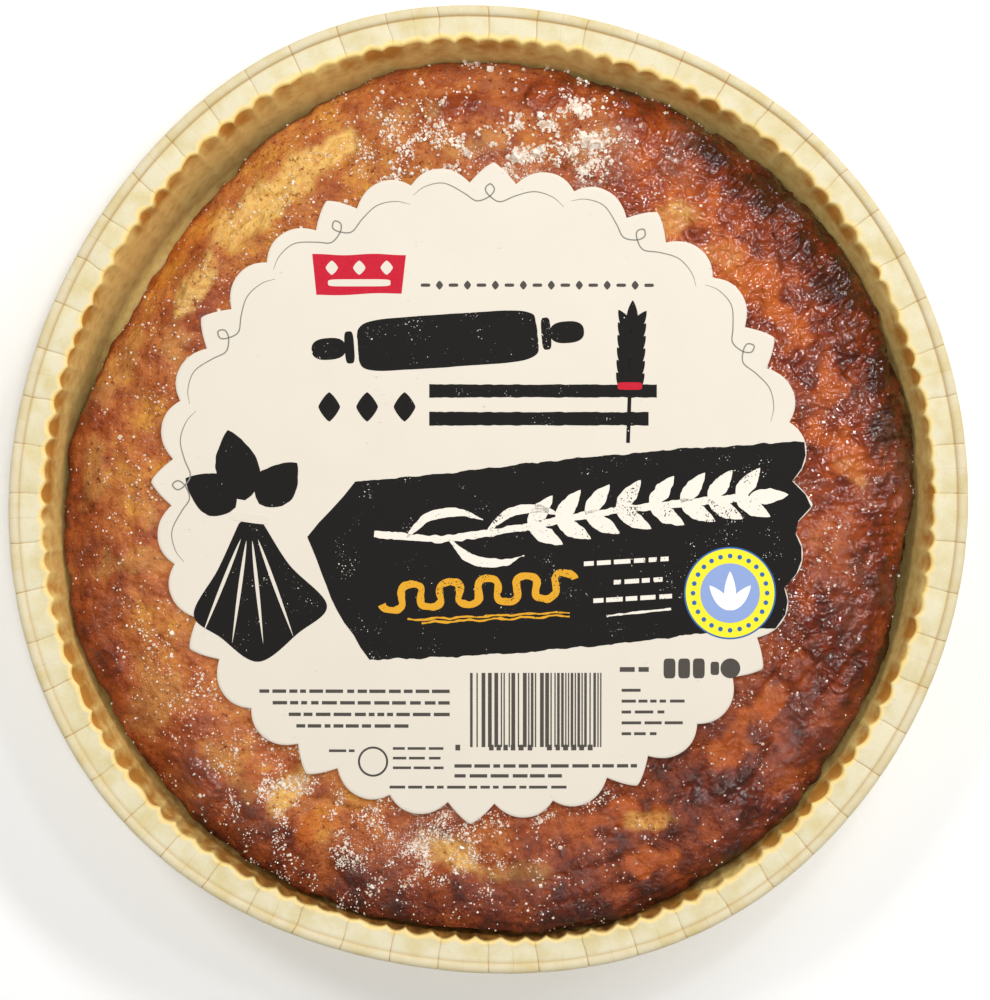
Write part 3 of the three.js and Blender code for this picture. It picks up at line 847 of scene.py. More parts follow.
def cake_rings(cake, mould):
    """The cake as rings of points, with the way along its section: the smooth form of the section
    turned round and pushed out by slow waves, then moved along its own normals by the relief."""
    section, way = cake_section(cake)
    foot_corner = way[-2]
    rows = np.concatenate(
        [
            np.array([8, 20, 32, 44, 54, 60]) * MM,
            np.linspace(64 * MM, 101 * MM, 80),
            [mix(101 * MM, way[-3], 0.5), way[-3], foot_corner, mix(foot_corner, way[-1], 0.4)],
        ]
    )
    angle = np.arange(CAKE_COLUMNS) * 2 * math.pi / CAKE_COLUMNS
    radius = np.interp(rows, way, section[0])[:, None]
    height = np.interp(rows, way, section[1])[:, None]
    outwards = smoothstep(radius, cake.shoulder_start, cake.radius)
    lift = waves(SHOULDER_LIFT, angle)
    lump = waves(SHOULDER_LUMPS, angle) * 4 * outwards * (1 - outwards)
    upper = height >= cake.shoulder_height
    rise = (height - FOOT_HEIGHT) / (cake.shoulder_height - FOOT_HEIGHT)
    low_height = mix(FOOT_HEIGHT, cake.shoulder_height + lift, rise)
    height = np.where(upper, height + lift * outwards + lump, low_height)
    out = radius + waves(CAKE_WANDER, angle) * outwards

    def placed(out, height):
        """Points at a radius and height, held 0.3 mm clear of the mould's wall and base corner."""
        near_wall = inner_wall(angle, height, mould) - 0.3 * MM
        out = np.minimum(out, np.where(height > FOOT_HEIGHT, near_wall, 86 * MM))
        return np.stack([out * np.cos(angle), out * np.sin(angle), height], axis=-1)

    smooth = placed(out, height)
    down = np.gradient(smooth, axis=0)
    sideways = np.roll(smooth, -1, axis=1) - np.roll(smooth, 1, axis=1)
    normal = np.cross(down, sideways)
    normal /= np.linalg.norm(normal, axis=-1, keepdims=True)
    way_there = np.broadcast_to(rows[:, None], out.shape)
    # The relief is worked out on the section rolled out flat, so that it isn't drawn out down the side.
    flat_x, flat_y = way_there * np.cos(angle), way_there * np.sin(angle)
    relief = crust_relief(flat_x, flat_y, angle[None, :], way_there, cake)
    moved = smooth + normal * relief[..., None]
    return placed(np.hypot(moved[..., 0], moved[..., 1]), moved[..., 2]), relief, way_there, angle


def crust_fields(rings, relief, way, angle):
    """The crust's painted values at each point: how brown it is, with painted shade down its side, how
    wet, golden and amber, how pale and dull, partly sugar and partly a painted sheen, and how frosted and
    wrinkled it is, from the knots round the cake, the named patches, the relief and noise."""
    x, y = rings[..., 0], rings[..., 1]
    radius = np.hypot(x, y)
    degrees = np.broadcast_to(np.degrees(angle) % 360, radius.shape)
    broad, small = rough(x, y, 9 * MM, 2, 101), rough(x, y, 3 * MM, 2, 111)
    wobble = 0.3 * small + 0.2 * broad
    faint = sum(patch(x, y, spot, 1.6 * wobble) for spot in FAINT_DOUGH_SPOTS)
    gold = np.clip(0.85 * sum(patch(x, y, spot, wobble) for spot in DOUGH_SPOTS) + 0.24 * faint, 0, 1)
    amber = np.clip(0.65 * sum(patch(x, y, spot, 1.6 * wobble) for spot in AMBER_SPOTS), 0, 1)
    blister = np.clip(sum(patch(x, y, spot, wobble) for spot in BLISTERS), 0, 1)
    outside = smoothstep(radius, 75 * MM, 87 * MM)
    bake = mix(round_value(BAKE_INSIDE, degrees), round_value(BAKE_OUTSIDE, degrees), outside)
    bake = bake + 0.16 * broad + 0.07 * small + 0.14 * blister + 0.08 * relief / MM
    # Painted shade, partly darker caramel: the crust darkens down its side into the gap by the wall.
    bake = bake + 0.4 * smoothstep(way, 91 * MM, 98 * MM) - 0.25 * amber * (1 - gold)
    wet = round_value(WETNESS, degrees) + 0.3 * broad + 0.6 * blister - 0.5 * gold
    wet = wet.clip(0, 1) * mix(1, 0.3, smoothstep(way, 91 * MM, 97 * MM))
    haze_and_sheen_round = round_value(HAZE_AND_SHEEN, degrees)
    haze_and_sheen = haze_and_sheen_round * smoothstep(rough(x, y, 7 * MM, 2, 121), -0.1, 0.7) * (1 - amber) * (1 - 0.7 * gold)
    patchy = smoothstep(rough(x, y, 11 * MM, 2, 131), -0.5, 0.5)
    frost = round_value(FROST, degrees) * mix(0.45, 1, patchy) * mix(1, 0.55, outside)
    arc = near_angle(degrees, 30, 80, 40)
    band = smoothstep(radius, 80 * MM, 84.5 * MM) * (1 - smoothstep(radius, 89 * MM, 91 * MM))
    wrinkle = wet.clip(0, 1) * mix(0.15, 1, arc * band) * (1 - gold)
    return {
        "bake": bake,
        "wet": np.clip(wet, 0, 1),
        "gold": gold,
        "amber": amber,
        "haze_and_sheen": np.clip(haze_and_sheen, 0, 1),
        "frost": np.clip(frost, 0, 1),
        "wrinkle": wrinkle,
    }


def scattered(rings, density, count, random):
    """Points and normals on a ring surface, with as many in a place as its area times density says.

    Each lies in a grid cell that was drawn by its weight, at an even place between the cell's corners."""
    after = np.roll(rings, -1, axis=1)
    corners = np.stack([rings[:-1], rings[1:], after[1:], after[:-1]], axis=2)
    cross = np.cross(corners[:, :, 2] - corners[:, :, 0], corners[:, :, 3] - corners[:, :, 1])
    area = np.linalg.norm(cross, axis=-1)
    weight = (area * density[:-1]).ravel()
    cell = random.choice(weight.size, count, p=weight / weight.sum())
    u, v = random.random((2, count, 1))
    a, b, c, d = corners.reshape(-1, 4, 3)[cell].transpose(1, 0, 2)
    normal = cross.reshape(-1, 3)[cell] / area.ravel()[cell][:, None]
    return mix(mix(a, b, v), mix(d, c, v), u), normal


def crystals(places, normals, half, random):
    """Sugar crystals: blocks of uneven sides, each turned at random and sunk a third into the crust."""
    count = len(places)
    sides = half[:, None] * np.exp(random.normal(0, 0.4, (count, 1))) * random.uniform(0.7, 1.25, (count, 3))
    turn = random.normal(size=(count, 4))
    turn /= np.linalg.norm(turn, axis=1, keepdims=True)
    w, x, y, z = turn.T
    rotation = np.array(
        [
            [1 - 2 * (y * y + z * z), 2 * (x * y - z * w), 2 * (x * z + y * w)],
            [2 * (x * y + z * w), 1 - 2 * (x * x + z * z), 2 * (y * z - x * w)],
            [2 * (x * z - y * w), 2 * (y * z + x * w), 1 - 2 * (x * x + y * y)],
        ]
    ).transpose(2, 0, 1)
    signs = np.array([[a, b, c] for a in (-1, 1) for b in (-1, 1) for c in (-1, 1)], float)
    block = np.einsum("nij,nkj->nki", rotation, signs * sides[:, None, :])
    points = places[:, None, :] + block + normals[:, None, :] * sides.mean(axis=1)[:, None, None] * 0.4
    faces = np.array([(0, 1, 3, 2), (4, 6, 7, 5), (0, 4, 5, 1), (2, 3, 7, 6), (0, 2, 6, 4), (1, 5, 7, 3)])
    quads = (faces[None] + 8 * np.arange(count)[:, None, None]).reshape(-1, 4)
    return points.reshape(-1, 3), quads, np.zeros((0, 3), int)


# ------------------------------------------------------------------ the label

# The label's edge repeats one narrow pointed lobe and two round scallops: (share of the repeat,
# radius at the start, radius at the end, radius of the tip, sharpness), radii in mm.
LOBES = ((4, 65.7, 65.7, 70.0, 1.25), (5, 65.7, 66.7, 69.2, 2.2), (5, 66.7, 65.7, 69.2, 2.2))
LOBE_STEPS = 14
FIRST_POINT = math.radians(28)


def label_turn(settings):
    """Angle at which the first repeat of the edge starts, and the angle of one repeat."""
    pitch = 2 * math.pi / settings.repeats
    return FIRST_POINT - LOBES[0][0] / 2 / LOBE_STEPS * pitch, pitch


def label_edge(angle, settings):
    """Radius of the label's edge: between each lobe's cusps it arches as 1 - |2t - 1|^sharpness."""
    first, pitch = label_turn(settings)
    along = ((angle - first) % pitch) / pitch * LOBE_STEPS
    radius = np.zeros_like(along)
    begin = 0
    for share, start, end, tip, sharpness in LOBES:
        t = np.clip((along - begin) / share, 0, 1)
        arch = mix(start, end, t) + (tip - (start + end) / 2) * (1 - np.abs(2 * t - 1) ** sharpness)
        radius = np.where(along >= begin, arch, radius)
        begin += share
    return radius * MM


def label_top(x, y, label, cake):
    """Height of the card's upper face: the crown's paraboloid, the gap, the card and a faint ripple."""
    share = np.hypot(x - label.centre_x, y) / cake.shoulder_start
    crown = cake.crown_height - cake.crown_fall * share**2
    ripple = 0.07 * MM * soft_noise(x / 0.019, y / 0.019, 201) * smoothstep(share, 0.2, 0.8)
    return crown + label.gap + label.thickness + ripple


def label_card(label, cake):
    """The card as rings of points: circles inside, the scalloped edge outside, and a rounded rim."""
    columns = label.repeats * LOBE_STEPS * 6
    angle = label_turn(label)[0] + np.arange(columns) * 2 * math.pi / columns
    edge = label_edge(angle, label)
    circle = 58 * MM
    inside = [np.full(columns, circle * share) for share in (0.12, 0.25, 0.38, 0.5, 0.62, 0.74, 0.86, 0.95)]
    outside = [mix(circle, edge - 0.12 * MM, share) for share in (0, 0.25, 0.5, 0.7, 0.85, 0.94, 1)]
    top = np.array(inside + outside)
    radius = np.concatenate([top, [edge, edge], top[::-1]])
    x, y = label.centre_x + radius * np.cos(angle), radius * np.sin(angle)
    drop = np.concatenate([np.zeros(len(top)), [0.3, 0.75], np.ones(len(top))])[:, None] * label.thickness
    rings = np.stack([x, y, label_top(x, y, label, cake) - drop], axis=-1)
    middle = label_top(np.array(label.centre_x), np.array(0.0), label, cake)
    poles = [(label.centre_x, 0, middle), (label.centre_x, 0, middle - label.thickness)]
    return ring_solid(rings, *poles)


# Overlapping shapes of one ink lie on steps of this share of a layer, over and over.
OVERLAP_STEP = 0.09
OVERLAP_STEPS = 6


class Printer:
    """Draws flat shapes that lie on the card. Places are in mm: X to the right, Y up the label."""

    def __init__(self, label, cake):
        self.label, self.cake = label, cake
        self.shapes = []
        self.layer = 1

    def laid(self, x, y):
        """Places in mm as points on the card, raised by the layer's ink. Each shape of a layer lies a
        little higher than the last, so that two that overlap don't share a surface."""
        x, y = np.asarray(x) * MM, np.asarray(y) * MM
        raised = (self.layer + OVERLAP_STEP * (len(self.shapes) % OVERLAP_STEPS)) * self.label.ink
        return np.stack([x, y, label_top(x, y, self.label, self.cake) + raised], axis=-1)

    def plate(self, x, y):
        """A shape over a grid of places."""
        self.shapes.append(plate(self.laid(x, y), (self.layer + 0.5) * self.label.ink))

    def stroke(self, path, width, shape=1.0, jitter=0.0, seed=0):
        """A ribbon along a path of (x, y): width times shape across it, with a rough edge by noise."""
        path = np.asarray(path, float)
        along = np.gradient(path, axis=0)
        along /= np.linalg.norm(along, axis=1, keepdims=True)
        side = np.stack([-along[:, 1], along[:, 0]], axis=1)
        half = np.broadcast_to(width / 2 * np.asarray(shape, float), (len(path),))
        way = np.concatenate([[0], np.cumsum(np.linalg.norm(np.diff(path, axis=0), axis=1))])
        rows = []
        for share in (-1, 0, 1):
            edge = half + jitter * rough(way / 1.3, way * 0 + share * 9.7, 1.0, 2, 300 + seed)
            rows.append(path + side * (share * np.maximum(edge, 0.04))[:, None])
        grid = np.array(rows)
        self.plate(grid[..., 0], grid[..., 1])

    def blob(self, centre, half, turn=0, power=2.0, jitter=0.0, seed=0, columns=64):
        """A superellipse |x/a|^p + |y/b|^p = 1 turned round its middle: 2 is an ellipse, 1.3 a diamond
        with soft corners, 5 a rounded block."""
        t = np.arange(columns) * 2 * math.pi / columns
        c, s = np.cos(t), np.sin(t)
        reach = (np.abs(c) ** power + np.abs(s) ** power) ** (-1 / power)
        reach = reach * (1 + jitter * rough(c * 9, s * 9, 2.0, 2, 400 + seed))
        self.outline(centre, half[0] * reach * c, half[1] * reach * s, turn)

    def outline(self, centre, dx, dy, turn=0):
        """A filled outline round its middle, anticlockwise."""
        a = math.radians(turn)
        x, y = dx * math.cos(a) - dy * math.sin(a), dx * math.sin(a) + dy * math.cos(a)
        rings = [self.laid(centre[0] + x * share, centre[1] + y * share) for share in (0.25, 0.5, 0.75, 1)]
        depth = np.array([0, 0, (self.layer + 0.5) * self.label.ink])
        top = self.laid(*centre)
        self.shapes.append(ring_solid(np.array(rings + [rings[-1] - depth]), top, top - depth))

    def leaf(self, start, turn, length, width, jitter=0.0, seed=0):
        """A grain: an outline with both ends pointed and its widest place nearer its foot."""
        t = np.concatenate([np.linspace(0, 1, 24)[:-1], np.linspace(1, 0, 24)[:-1]])
        side = np.concatenate([np.full(23, -1.0), np.full(23, 1.0)])
        half = width * np.sin(math.pi * t**0.8) ** 0.8 / 2
        half = half * (1 + jitter * rough(t * 7 + side, t * 0, 1, 2, 500 + seed))
        a = math.radians(turn)
        middle = (start[0] + length / 2 * math.cos(a), start[1] + length / 2 * math.sin(a))
        self.outline(middle, (t - 0.5) * length, side * half, turn)

    def finished(self, name, material):
        """Everything drawn since the last piece, as one object."""
        made = grown_object(name, joined(self.shapes), material, smooth=False)
        self.shapes = []
        hand_over(made, "label_card")


def smooth_path(points, count):
    """A Catmull-Rom curve through points: each span is a cubic whose slopes come from its neighbours."""
    points = np.asarray(points, float)
    knots = np.vstack([2 * points[0] - points[1], points, 2 * points[-1] - points[-2]])
    t = np.linspace(0, len(points) - 1 - 1e-9, count)
    i, u = t.astype(int), (t % 1)[:, None]
    a, b, c, d = knots[i], knots[i + 1], knots[i + 2], knots[i + 3]
    return 0.5 * (2 * b + (c - a) * u + (2 * a - 5 * b + 4 * c - d) * u**2 + (3 * b - a - 3 * c + d) * u**3)


def word_row(printer, left, right, middle, height, random, slope=0.0, word=(1.2, 4.2), from_right=False):
    """A row of word-long dashes between two ends, in place of a line of small print."""
    place = 0.0
    while place < right - left - word[0]:
        length = min(random.uniform(*word), right - left - place)
        start = right - place - length if from_right else left + place
        x = np.array([start, start + length / 2, start + length])
        y = middle + slope * (x - left)
        printer.plate(np.array([x, x]), np.array([y - height / 2, y + height / 2]))
        place += length + random.uniform(0.5, 0.9)


def wheat(printer, foot, turn, length, pairs, grain, stem, jitter=0.0):
    """An ear of wheat: a thin stalk, pairs of grains leaning off it and one grain at the tip."""
    a = math.radians(turn)
    ahead = np.array([math.cos(a), math.sin(a)])
    foot = np.array(foot, float)
    printer.stroke([foot + ahead * length * t for t in np.linspace(0, 1, 30)], stem, jitter=jitter)
    for number in range(pairs):
        start = foot + ahead * length * mix(0.42, 0.97, number / (pairs - 1))
        for lean in (-32, 32):
            printer.leaf(start, turn + lean, grain, grain * 0.42, jitter, number)
    printer.leaf(foot + ahead * length, turn, grain * 1.1, grain * 0.42, jitter)


# The black field's notched left end as (share of its height, x in mm), and one upper point's curl as
# (degrees from the point, radius in mm).
BANNER_LEFT = ((0, -25), (0.3, -32.4), (0.72, -38.1), (1, -27.8))
CURL = (
    (-15, 64.6), (-12.5, 65.9), (-9, 66.0), (-5.5, 63.6), (-3.1, 61.8), (-0.7, 62.6), (0.35, 64.2),
    (-0.45, 65.4), (-1.35, 64.3), (-0.5, 62.8), (1.6, 61.7), (4.6, 63.3), (8, 64.7), (11.5, 64.3),
    (14, 62.9),
)
CURLED_POINTS = 6
# Outline of the sheaf's flared straw in mm, from its band anticlockwise back to it.
SHEAF = (
    (-52.6, -6.4), (-57, -16), (-62.2, -25.6), (-56.5, -30.5), (-48.5, -35.6), (-40, -29.5),
    (-34, -23.6), (-42, -15), (-48.2, -5.4), (-50.4, -4.8), (-52.6, -6.4),
)


def banner(printer, label):
    """The black field across the label, from its notched left end to the scalloped edge. Its long
    sides rise a little to the right and waver, and the points between them are blended straight."""
    u = np.linspace(0, 1, 420)
    v = np.linspace(0, 1, 15)[:, None]
    knots, lefts = np.array(BANNER_LEFT).T
    left = np.interp(v, knots, lefts) + 0.25 * rough(v * 60, v * 0, 4, 2, 601)

    def upper(x):
        """Upper long side: a rising line with one slow wave and a rough edge."""
        return 5.3 + 0.09 * x + 0.5 * np.sin(x / 17) + 0.22 * rough(x, x * 0, 2.4, 3, 602)

    def lower(x):
        """Lower long side: a flatter rising line with one slow wave and a rough edge."""
        return -33.2 + 0.064 * x - 0.9 * np.cos(x / 21) + 0.22 * rough(x, x * 0, 2.4, 3, 603)

    def height(x):
        """Places between the long sides, a share v of the way up."""
        return mix(lower(x), upper(x), v)

    # The right end follows the label's edge: the last place on each row that is still on the card.
    tries = np.linspace(50, 71, 600)[None, :] + 0 * v
    inset = 0.15
    reach = np.hypot(tries - label.centre_x / MM, height(tries))
    inside = reach < label_edge(np.arctan2(height(tries), tries - label.centre_x / MM), label) / MM - inset
    right = np.where(inside, tries, 0).max(axis=1, keepdims=True)
    x = mix(left, right, u)
    printer.plate(x, height(x))


def print_black(printer, label):
    """Everything in worn black ink: banner, bars, rolling pin, sheaf and sprig."""
    banner(printer, label)
    for bottom, top in ((20.2, 22.9), (14.3, 17.1)):
        x = np.linspace(-12.4, 35.6 - (22.9 - top) * 0.3, 120)
        wobble = 0.08 * rough(x, x * 0, 1.5, 2, 611)
        printer.plate(np.array([x, x]), np.array([bottom + wobble, top - wobble]))
    # Rolling pin: a long barrel with two turned handles.
    turn, middle = 4, np.array([-8.5, 32.2])
    ahead = np.array([math.cos(math.radians(turn)), math.sin(math.radians(turn))])
    printer.blob(middle, (19, 5.6), turn, 6, 0.01, 1, 160)
    for side in (-1, 1):
        printer.blob(middle + ahead * side * 20.8, (1.0, 3.4), turn, 4)
        printer.blob(middle + ahead * side * 25.2, (3.6, 2.3), turn, 2.6)
    # Sheaf: three heads over a flared bundle of straw, held by a band.
    tie = np.array([-50.5, -4.6])
    for turn, length, width in ((104, 18.5, 9.5), (150, 15.5, 8.6), (47, 15, 8.6)):
        ahead = np.array([math.cos(math.radians(turn)), math.sin(math.radians(turn))])
        printer.leaf(tie + ahead * 3.2, turn, length - 3.2, width, 0.05, turn)
    skirt = smooth_path(SHEAF, 200)[:-1]
    centre = (-49.5, -19)
    printer.outline(centre, skirt[:, 0] - centre[0], skirt[:, 1] - centre[1])
    wheat(printer, (29.5, 10.6), 88, 24, 6, 5.6, 0.8)
    for x in (-33.5, -25.5, -17.6):
        printer.blob((x, 18.2), (2.3, 3.1), 0, 1.25)


def print_small(printer, random):
    """Rows of dashes in place of small print, and a field of upright bars that encode nothing."""
    for number in range(17):
        x = -13.2 + number * 2.95
        half = (0.75, 0.95) if number % 2 else (1.0, 0.35)
        printer.blob((x, 43.9), half, 0, 1.3 if number % 2 else 5, columns=24)
    for row, left in enumerate((-48.3, -46, -43.4, -40.5)):
        right = -8.1 if row < 3 else -16.8
        word_row(printer, left, right, -41.8 - 2.45 * row, 0.72, random, from_right=True)
    for row in range(3):
        word_row(printer, -20.1, -8 - 0.7 * row, -53.9 - 2.05 * row, 0.55, random)
    word_row(printer, -33.6, -28.2, -54.4, 0.55, random)
    word_row(printer, -7.1, 32, -57.6, 0.72, random)
    word_row(printer, -7.1, 15.6, -59.7, 0.72, random)
    word_row(printer, -20.8, 17.4, -62.1, 0.6, random)
    for row, right in enumerate((34, 42, 38, 42, 37)):
        word_row(printer, 28.2, right, -41.6 - 2.3 * row, 0.62, random)
    word_row(printer, 27.8, 35.6, -37.2, 1.0, random, word=(2, 4))
    for x, half in ((38.3, 1.25), (41.4, 1.25), (44.5, 1.25), (47.9, 0.9)):
        printer.blob((x, -37), (half, 2.1 if half > 1 else 1.4), 0, 5, columns=32)
    printer.blob((51.2, -37), (2.1, 2.1))
    y = np.linspace(-53.6, -37.9, 9)
    bar = -3.8
    while bar < 24.2:
        width = random.choice([0.28, 0.28, 0.55, 0.8])
        printer.plate(np.array([0 * y + bar, 0 * y + bar + width]), np.array([y, y]))
        bar += width + random.choice([0.3, 0.3, 0.55, 0.8])
    for start, length in ((-6.9, 2.2), (0.2, 10.5), (12.4, 10.5)):
        word_row(printer, start, start + length, -53.7, 1.2, random, word=(0.9, 1.1))
    printer.blob((-24.3, -56.7), (3.2, 3.2))


def print_flourishes(printer, label):
    """Thin curls inside the six upper points: one smooth line of angle and radius for each, thinning
    towards both ends."""
    for number in range(CURLED_POINTS):
        point = math.degrees(FIRST_POINT) + number * 360 / label.repeats
        path = smooth_path(CURL, 160)
        angle = np.radians(point - path[:, 0])
        x, y = label.centre_x / MM + path[:, 1] * np.cos(angle), path[:, 1] * np.sin(angle)
        ends = np.sin(np.linspace(0, math.pi, 160)) ** 0.4
        printer.stroke(np.stack([x, y], axis=1), 0.3, ends.clip(0.3, 1))


def print_chalk(printer, random):
    """A wheat ear, small dashes and an underline, as if chalked on the black field."""
    stem = smooth_path(((-24, -8.5), (-10, -9.6), (6, -7.4), (22, -4.4), (40, -2.2), (55, -0.9)), 200)
    printer.stroke(stem, 1.5, 1, 0.22, 11)
    for number in range(8):
        at = stem[int(mix(86, 192, number / 7))]
        for lean in (-34, 46):
            printer.leaf(at, 6 + lean, 8.2, 3.3, 0.12, number)
    printer.leaf(stem[-1], 4, 8.5, 3.2, 0.1)
    for start, bend in ((20, 1), (44, -1), (64, 1)):
        foot = stem[start]
        reach = foot + (11, 5.2 * bend)
        leaf = smooth_path((foot, foot + (4.5, 4.2 * bend), reach, reach + (5, -1.6 * bend)), 60)
        printer.stroke(leaf, 2.0, np.sin(np.linspace(0.25, math.pi, 60)).clip(0.12, 1), 0.15, start)
    for row, (left, right) in enumerate(((20.2, 39.8), (26.5, 36.8), (22.2, 38.8))):
        word_row(printer, left, right, -14.9 - 3.9 * row, 0.95, random, 0.06, (1.4, 3.6))
    line = np.stack([np.linspace(25, 38.6, 60), np.linspace(-25.9, -24.4, 60)], axis=1)
    printer.stroke(line, 0.45, 1, 0.1, 21)


def print_ochre(printer):
    """A rolling wave and two scratchy underlines in ochre chalk."""
    x = np.linspace(-21.5, 17.5, 240)
    wave = np.stack([x + 0.9 * np.sin(x * 1.55), -20.6 + 0.075 * x + 2.6 * np.cos(x * 0.78)], axis=1)
    printer.stroke(wave, 1.5, 1, 0.2, 31)
    for drop, left in ((0, -17), (0.75, -14)):
        x = np.linspace(left, 17.2, 120)
        printer.stroke(np.stack([x, -25.9 - drop + 0.05 * x + 0.16 * np.sin(x)], axis=1), 0.42, 1, 0.14, 41)


# ------------------------------------------------------------------ operators


def settings():
    """The four groups of settings: mould, cake, label and stage."""
    scene = bpy.context.scene
    return scene.cake_mould, scene.butter_cake, scene.cake_label, scene.cake_stage


class BUTTERCAKE_OT_mould(Operator):
    """Build the fluted paper mould with its flange and rolled rim"""

    bl_idname = "buttercake.mould"
    bl_label = "Build Mould"

    def execute(self, context):
        mould = settings()[0]
        rings, fields = mould_rings(mould)
        solid = ring_solid(rings, (0, 0, mould.thickness), (0, 0, 0))
        made = grown_object("mould_paper", solid, baking_paper(mould))
        paint_all(made, fields)
        hand_over(made, "baking_paper", "paper_mould")
        return {"FINISHED"}


class BUTTERCAKE_OT_cake(Operator):
    """Build the cake with its caramel crust, and scatter sugar on it"""

    bl_idname = "buttercake.cake"
    bl_label = "Build Cake"

    def execute(self, context):
        mould, cake = settings()[:2]
        rings, relief, way, angle = cake_rings(cake, mould)
        solid = ring_solid(rings, (0, 0, cake.crown_height), (0, 0, rings[-1, 0, 2]))
        made = grown_object("cake_crust", solid, caramel_crust(cake))
        wrap_skin(made, rings.shape[:2], angle * 0.085, way[:, 0])
        fields = crust_fields(rings, relief, way, angle)
        paint_all(made, fields)
        hand_over(made, "caramel_crust", "cake")

        random = np.random.default_rng(5)
        open_crust = (way > 66.5 * MM) & (way < 97 * MM)
        clumps = smoothstep(rough(rings[..., 0], rings[..., 1], 3.4 * MM, 3, 701), -0.35, 0.75)
        density = (fields["frost"] ** 1.6 * clumps**1.3 + 0.004) * open_crust * (1 - 0.6 * fields["amber"])
        density = density * mix(1, 0.25, smoothstep(way, 82 * MM, 90 * MM)) * (1 - 0.94 * fields["wet"])
        places, normals = scattered(rings, density, cake.grains, random)
        # The coarsest sugar lies at the back of the cake.
        at_back = np.exp(-(((np.degrees(np.arctan2(places[:, 1], places[:, 0])) - 82) / 24) ** 2))
        sugar = crystals(places, normals, cake.grain * mix(0.85, 1.6, at_back), random)
        made = grown_object("sugar_grains", sugar, sugar_crystal(cake), smooth=False)
        hand_over(made, "caramel_crust")
        return {"FINISHED"}


class BUTTERCAKE_OT_label(Operator):
    """Build the scalloped card label that lies on the crown"""

    bl_idname = "buttercake.label"
    bl_label = "Build Label"

    def execute(self, context):
        label, cake = settings()[2], settings()[1]
        made = grown_object("label_card", label_card(label, cake), uncoated_card(label))
        hand_over(made, "label_card", "label")
        return {"FINISHED"}


class BUTTERCAKE_OT_print(Operator):
    """Print the label with plain fields of colour and simple shapes"""

    bl_idname = "buttercake.print"
    bl_label = "Print Label"

    def execute(self, context):
        label, cake = settings()[2], settings()[1]
        random = np.random.default_rng(17)
        printer = Printer(label, cake)
        black = worn_ink("worn_black_block_ink", label.black, label.chalk, 0.42 * MM, 0.76)
        print_black(printer, label)
        printer.finished("print_black", black)
        print_small(printer, random)
        printer.finished("print_small_lines", flat_ink("dark_line_ink", label.text))
        print_flourishes(printer, label)
        printer.finished("print_flourishes", flat_ink("grey_line_ink", label.grey))

        x = np.linspace(-1, 1, 40)
        low, high = 42.0 + 0.2 * x + 0.12 * np.sin(4 * x), 50.4 + 0.15 * np.sin(5 * x)
        wide = np.linspace(0, 1, 5)[:, None]
        printer.plate(-27.25 + x * mix(9.0, 9.9, wide), mix(low, high, wide))
        printer.layer = 2
        printer.blob((29.9, 22.6), (2.6, 0.8), 0, 5)
        printer.finished("print_red", flat_ink("red_litho_ink", label.red))

        for x in (-33, -27.2, -21.4):
            printer.blob((x, 47.6), (1.3, 1.5), 0, 1.3)
        printer.blob((-27.2, 44.4), (6.6, 0.75), 0, 6)
        for turn in (-112, -98, -84, -70):
            a = math.radians(turn)
            printer.leaf((-50.3 + 5 * math.cos(a), -5 + 5 * math.sin(a)), turn, 22, 0.75)
        printer.blob((-50.4, -5.2), (4.2, 1.0), -8, 4)
        printer.blob((-24.3, -56.7), (2.75, 2.75))
        printer.finished("print_cream", flat_ink("bare_card", label.card))
        print_chalk(printer, random)
        chalk = worn_ink("chalk_drawn_cream", label.chalk, label.black, 0.4 * MM, 0.66)
        printer.finished("print_chalk", chalk)
        print_ochre(printer)
        ochre = worn_ink("chalk_drawn_ochre", label.ochre, label.black, 0.4 * MM, 0.66)
        printer.finished("print_ochre", ochre)

        badge, reach = (51.1, -21.1), 9.75
        printer.blob(badge, (reach, reach), columns=128)
        printer.finished("print_badge_edge", flat_ink("blue_litho_ink", label.blue))
        printer.layer = 3
        printer.blob(badge, (reach - 0.35, reach - 0.35), columns=128)
        printer.finished("print_badge_ring", flat_ink("yellow_litho_ink", label.yellow))
        printer.layer = 4
        printer.blob(badge, (6.3, 6.3), columns=96)
        printer.finished("print_badge_field", flat_ink("pale_blue_litho_ink", label.sky))
        for turn in range(0, 360, 15):
            a = math.radians(turn)
            dot = (badge[0] + 7.85 * math.cos(a), badge[1] + 7.85 * math.sin(a))
            printer.blob(dot, (0.5, 0.5), columns=16)
        printer.finished("print_badge_dots", flat_ink("blue_dot_ink", label.blue))
        printer.layer = 5
        for turn in (50, 90, 130):
            printer.leaf((badge[0], badge[1] - 3.6), turn, 8.2 if turn == 90 else 6.8, 2.5)
        printer.finished("print_badge_sprig", flat_ink("white_litho_ink", label.white))
        return {"FINISHED"}


# Soft studio lights as (name, place, (width, height), power in watts, colour).
LIGHTS = (
    ("overhead", (0.05, -0.06, 1.3), (0.2, 0.2), 6.0, (1.0, 1.0, 0.98)),
    ("window", (-0.5, 0.5, 0.8), (0.22, 0.22), 2.8, (1.0, 0.98, 0.95)),
    ("strip", (0.62, 0.55, 0.66), (0.8, 0.11), 5.2, (1.0, 1.0, 1.0)),
    ("spark", (0.3, 0.5, 0.9), (0.1, 0.1), 0.9, (1.0, 1.0, 1.0)),
)
LIT_POINT = (0, 0, 0.02)
FLOOR_REACH = 3.0
FLOOR_THICKNESS = 0.01
FLOOR_GAP = 0.1 * MM


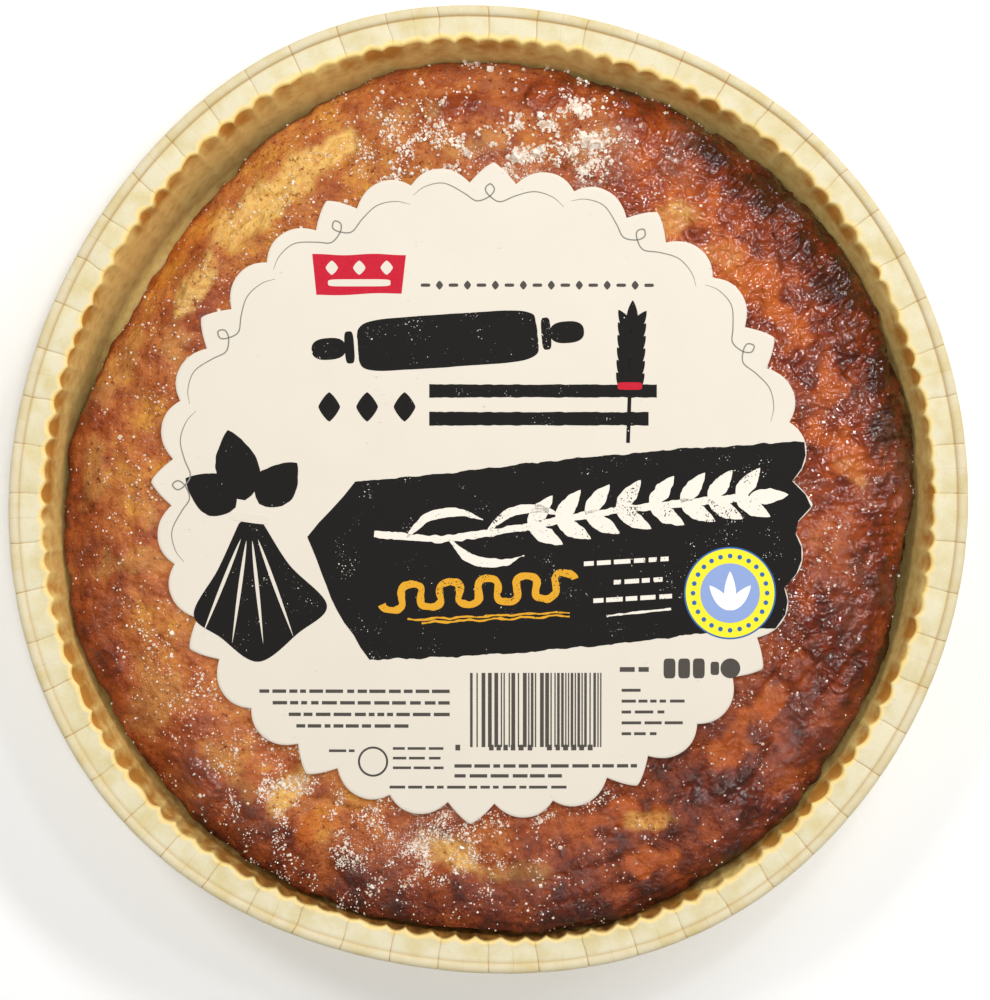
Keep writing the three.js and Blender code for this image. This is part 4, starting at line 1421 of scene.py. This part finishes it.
def soft_light(name, place, size, power, colour):
    """An area light of a width, height and power, turned to look at the cake."""
    lamp = bpy.data.lights.new(name, "AREA")
    lamp.shape, lamp.energy, lamp.color = "RECTANGLE", power, colour
    lamp.size, lamp.size_y = size
    made = bpy.data.objects.new(name, lamp)
    made.location = place
    made.visible_camera = False
    made.rotation_euler = (Vector(LIT_POINT) - Vector(place)).to_track_quat("-Z", "Y").to_euler()
    bpy.context.scene.collection.objects.link(made)


class BUTTERCAKE_OT_stage(Operator):
    """Set the pale floor, the soft studio lights and the camera that looks straight down"""

    bl_idname = "buttercake.stage"
    bl_label = "Set Stage"

    def execute(self, context):
        stage, mould = settings()[3], settings()[0]
        scene = context.scene
        x, y = np.meshgrid((-FLOOR_REACH, FLOOR_REACH), (-FLOOR_REACH, FLOOR_REACH))
        board = plate(np.stack([x, y, 0 * x - FLOOR_GAP], axis=-1), FLOOR_THICKNESS)
        grown_object("floor", board, plain_floor(stage))

        rim = mould.flange_edge + 2 * mould.rim_radius
        camera = bpy.data.objects.new("camera", bpy.data.cameras.new("camera"))
        distance = stage.camera_height - mould.flange_height
        camera.data.sensor_width = 36
        camera.data.lens = camera.data.sensor_width * stage.rim_share * distance / (2 * rim)
        camera.location = (stage.aim_x, stage.aim_y, stage.camera_height)
        scene.collection.objects.link(camera)
        scene.camera = camera

        for light in LIGHTS:
            soft_light(*light)
        world = bpy.data.worlds.new("studio")
        world.use_nodes = True
        background = world.node_tree.nodes["Background"]
        background.inputs["Color"].default_value = (1.0, 1.0, 1.0, 1)
        background.inputs["Strength"].default_value = stage.surround
        scene.world = world
        scene.view_settings.view_transform = "Standard"
        return {"FINISHED"}


OPERATORS = (
    BUTTERCAKE_OT_mould,
    BUTTERCAKE_OT_cake,
    BUTTERCAKE_OT_label,
    BUTTERCAKE_OT_print,
    BUTTERCAKE_OT_stage,
)


class BUTTERCAKE_PT_sidebar(Panel):
    """Lists the steps that build the cake, and the settings they read"""

    bl_label = "Butter Cake"
    bl_idname = "BUTTERCAKE_PT_sidebar"
    bl_space_type = "VIEW_3D"
    bl_region_type = "UI"
    bl_category = "Butter Cake"

    def draw(self, context):
        column = self.layout.column(align=True)
        for operator in OPERATORS:
            column.operator(operator.bl_idname)
        for group in settings():
            box = self.layout.box()
            for name in group.__annotations__:
                box.prop(group, name)


GROUPS = {
    "cake_mould": MouldSettings,
    "butter_cake": CakeSettings,
    "cake_label": LabelSettings,
    "cake_stage": StageSettings,
}
CLASSES = (*GROUPS.values(), *OPERATORS, BUTTERCAKE_PT_sidebar)


def register():
    """Registers the classes and puts each group of settings on the scene."""
    for made in CLASSES:
        bpy.utils.register_class(made)
    for name, group in GROUPS.items():
        setattr(bpy.types.Scene, name, PointerProperty(type=group))


def unregister():
    """Takes the settings and the classes away again."""
    for name in GROUPS:
        delattr(bpy.types.Scene, name)
    for made in reversed(CLASSES):
        bpy.utils.unregister_class(made)


def main():
    register()
    for operator in OPERATORS:
        group, name = operator.bl_idname.split(".")
        getattr(getattr(bpy.ops, group), name)()


if __name__ == "__main__":
    main()
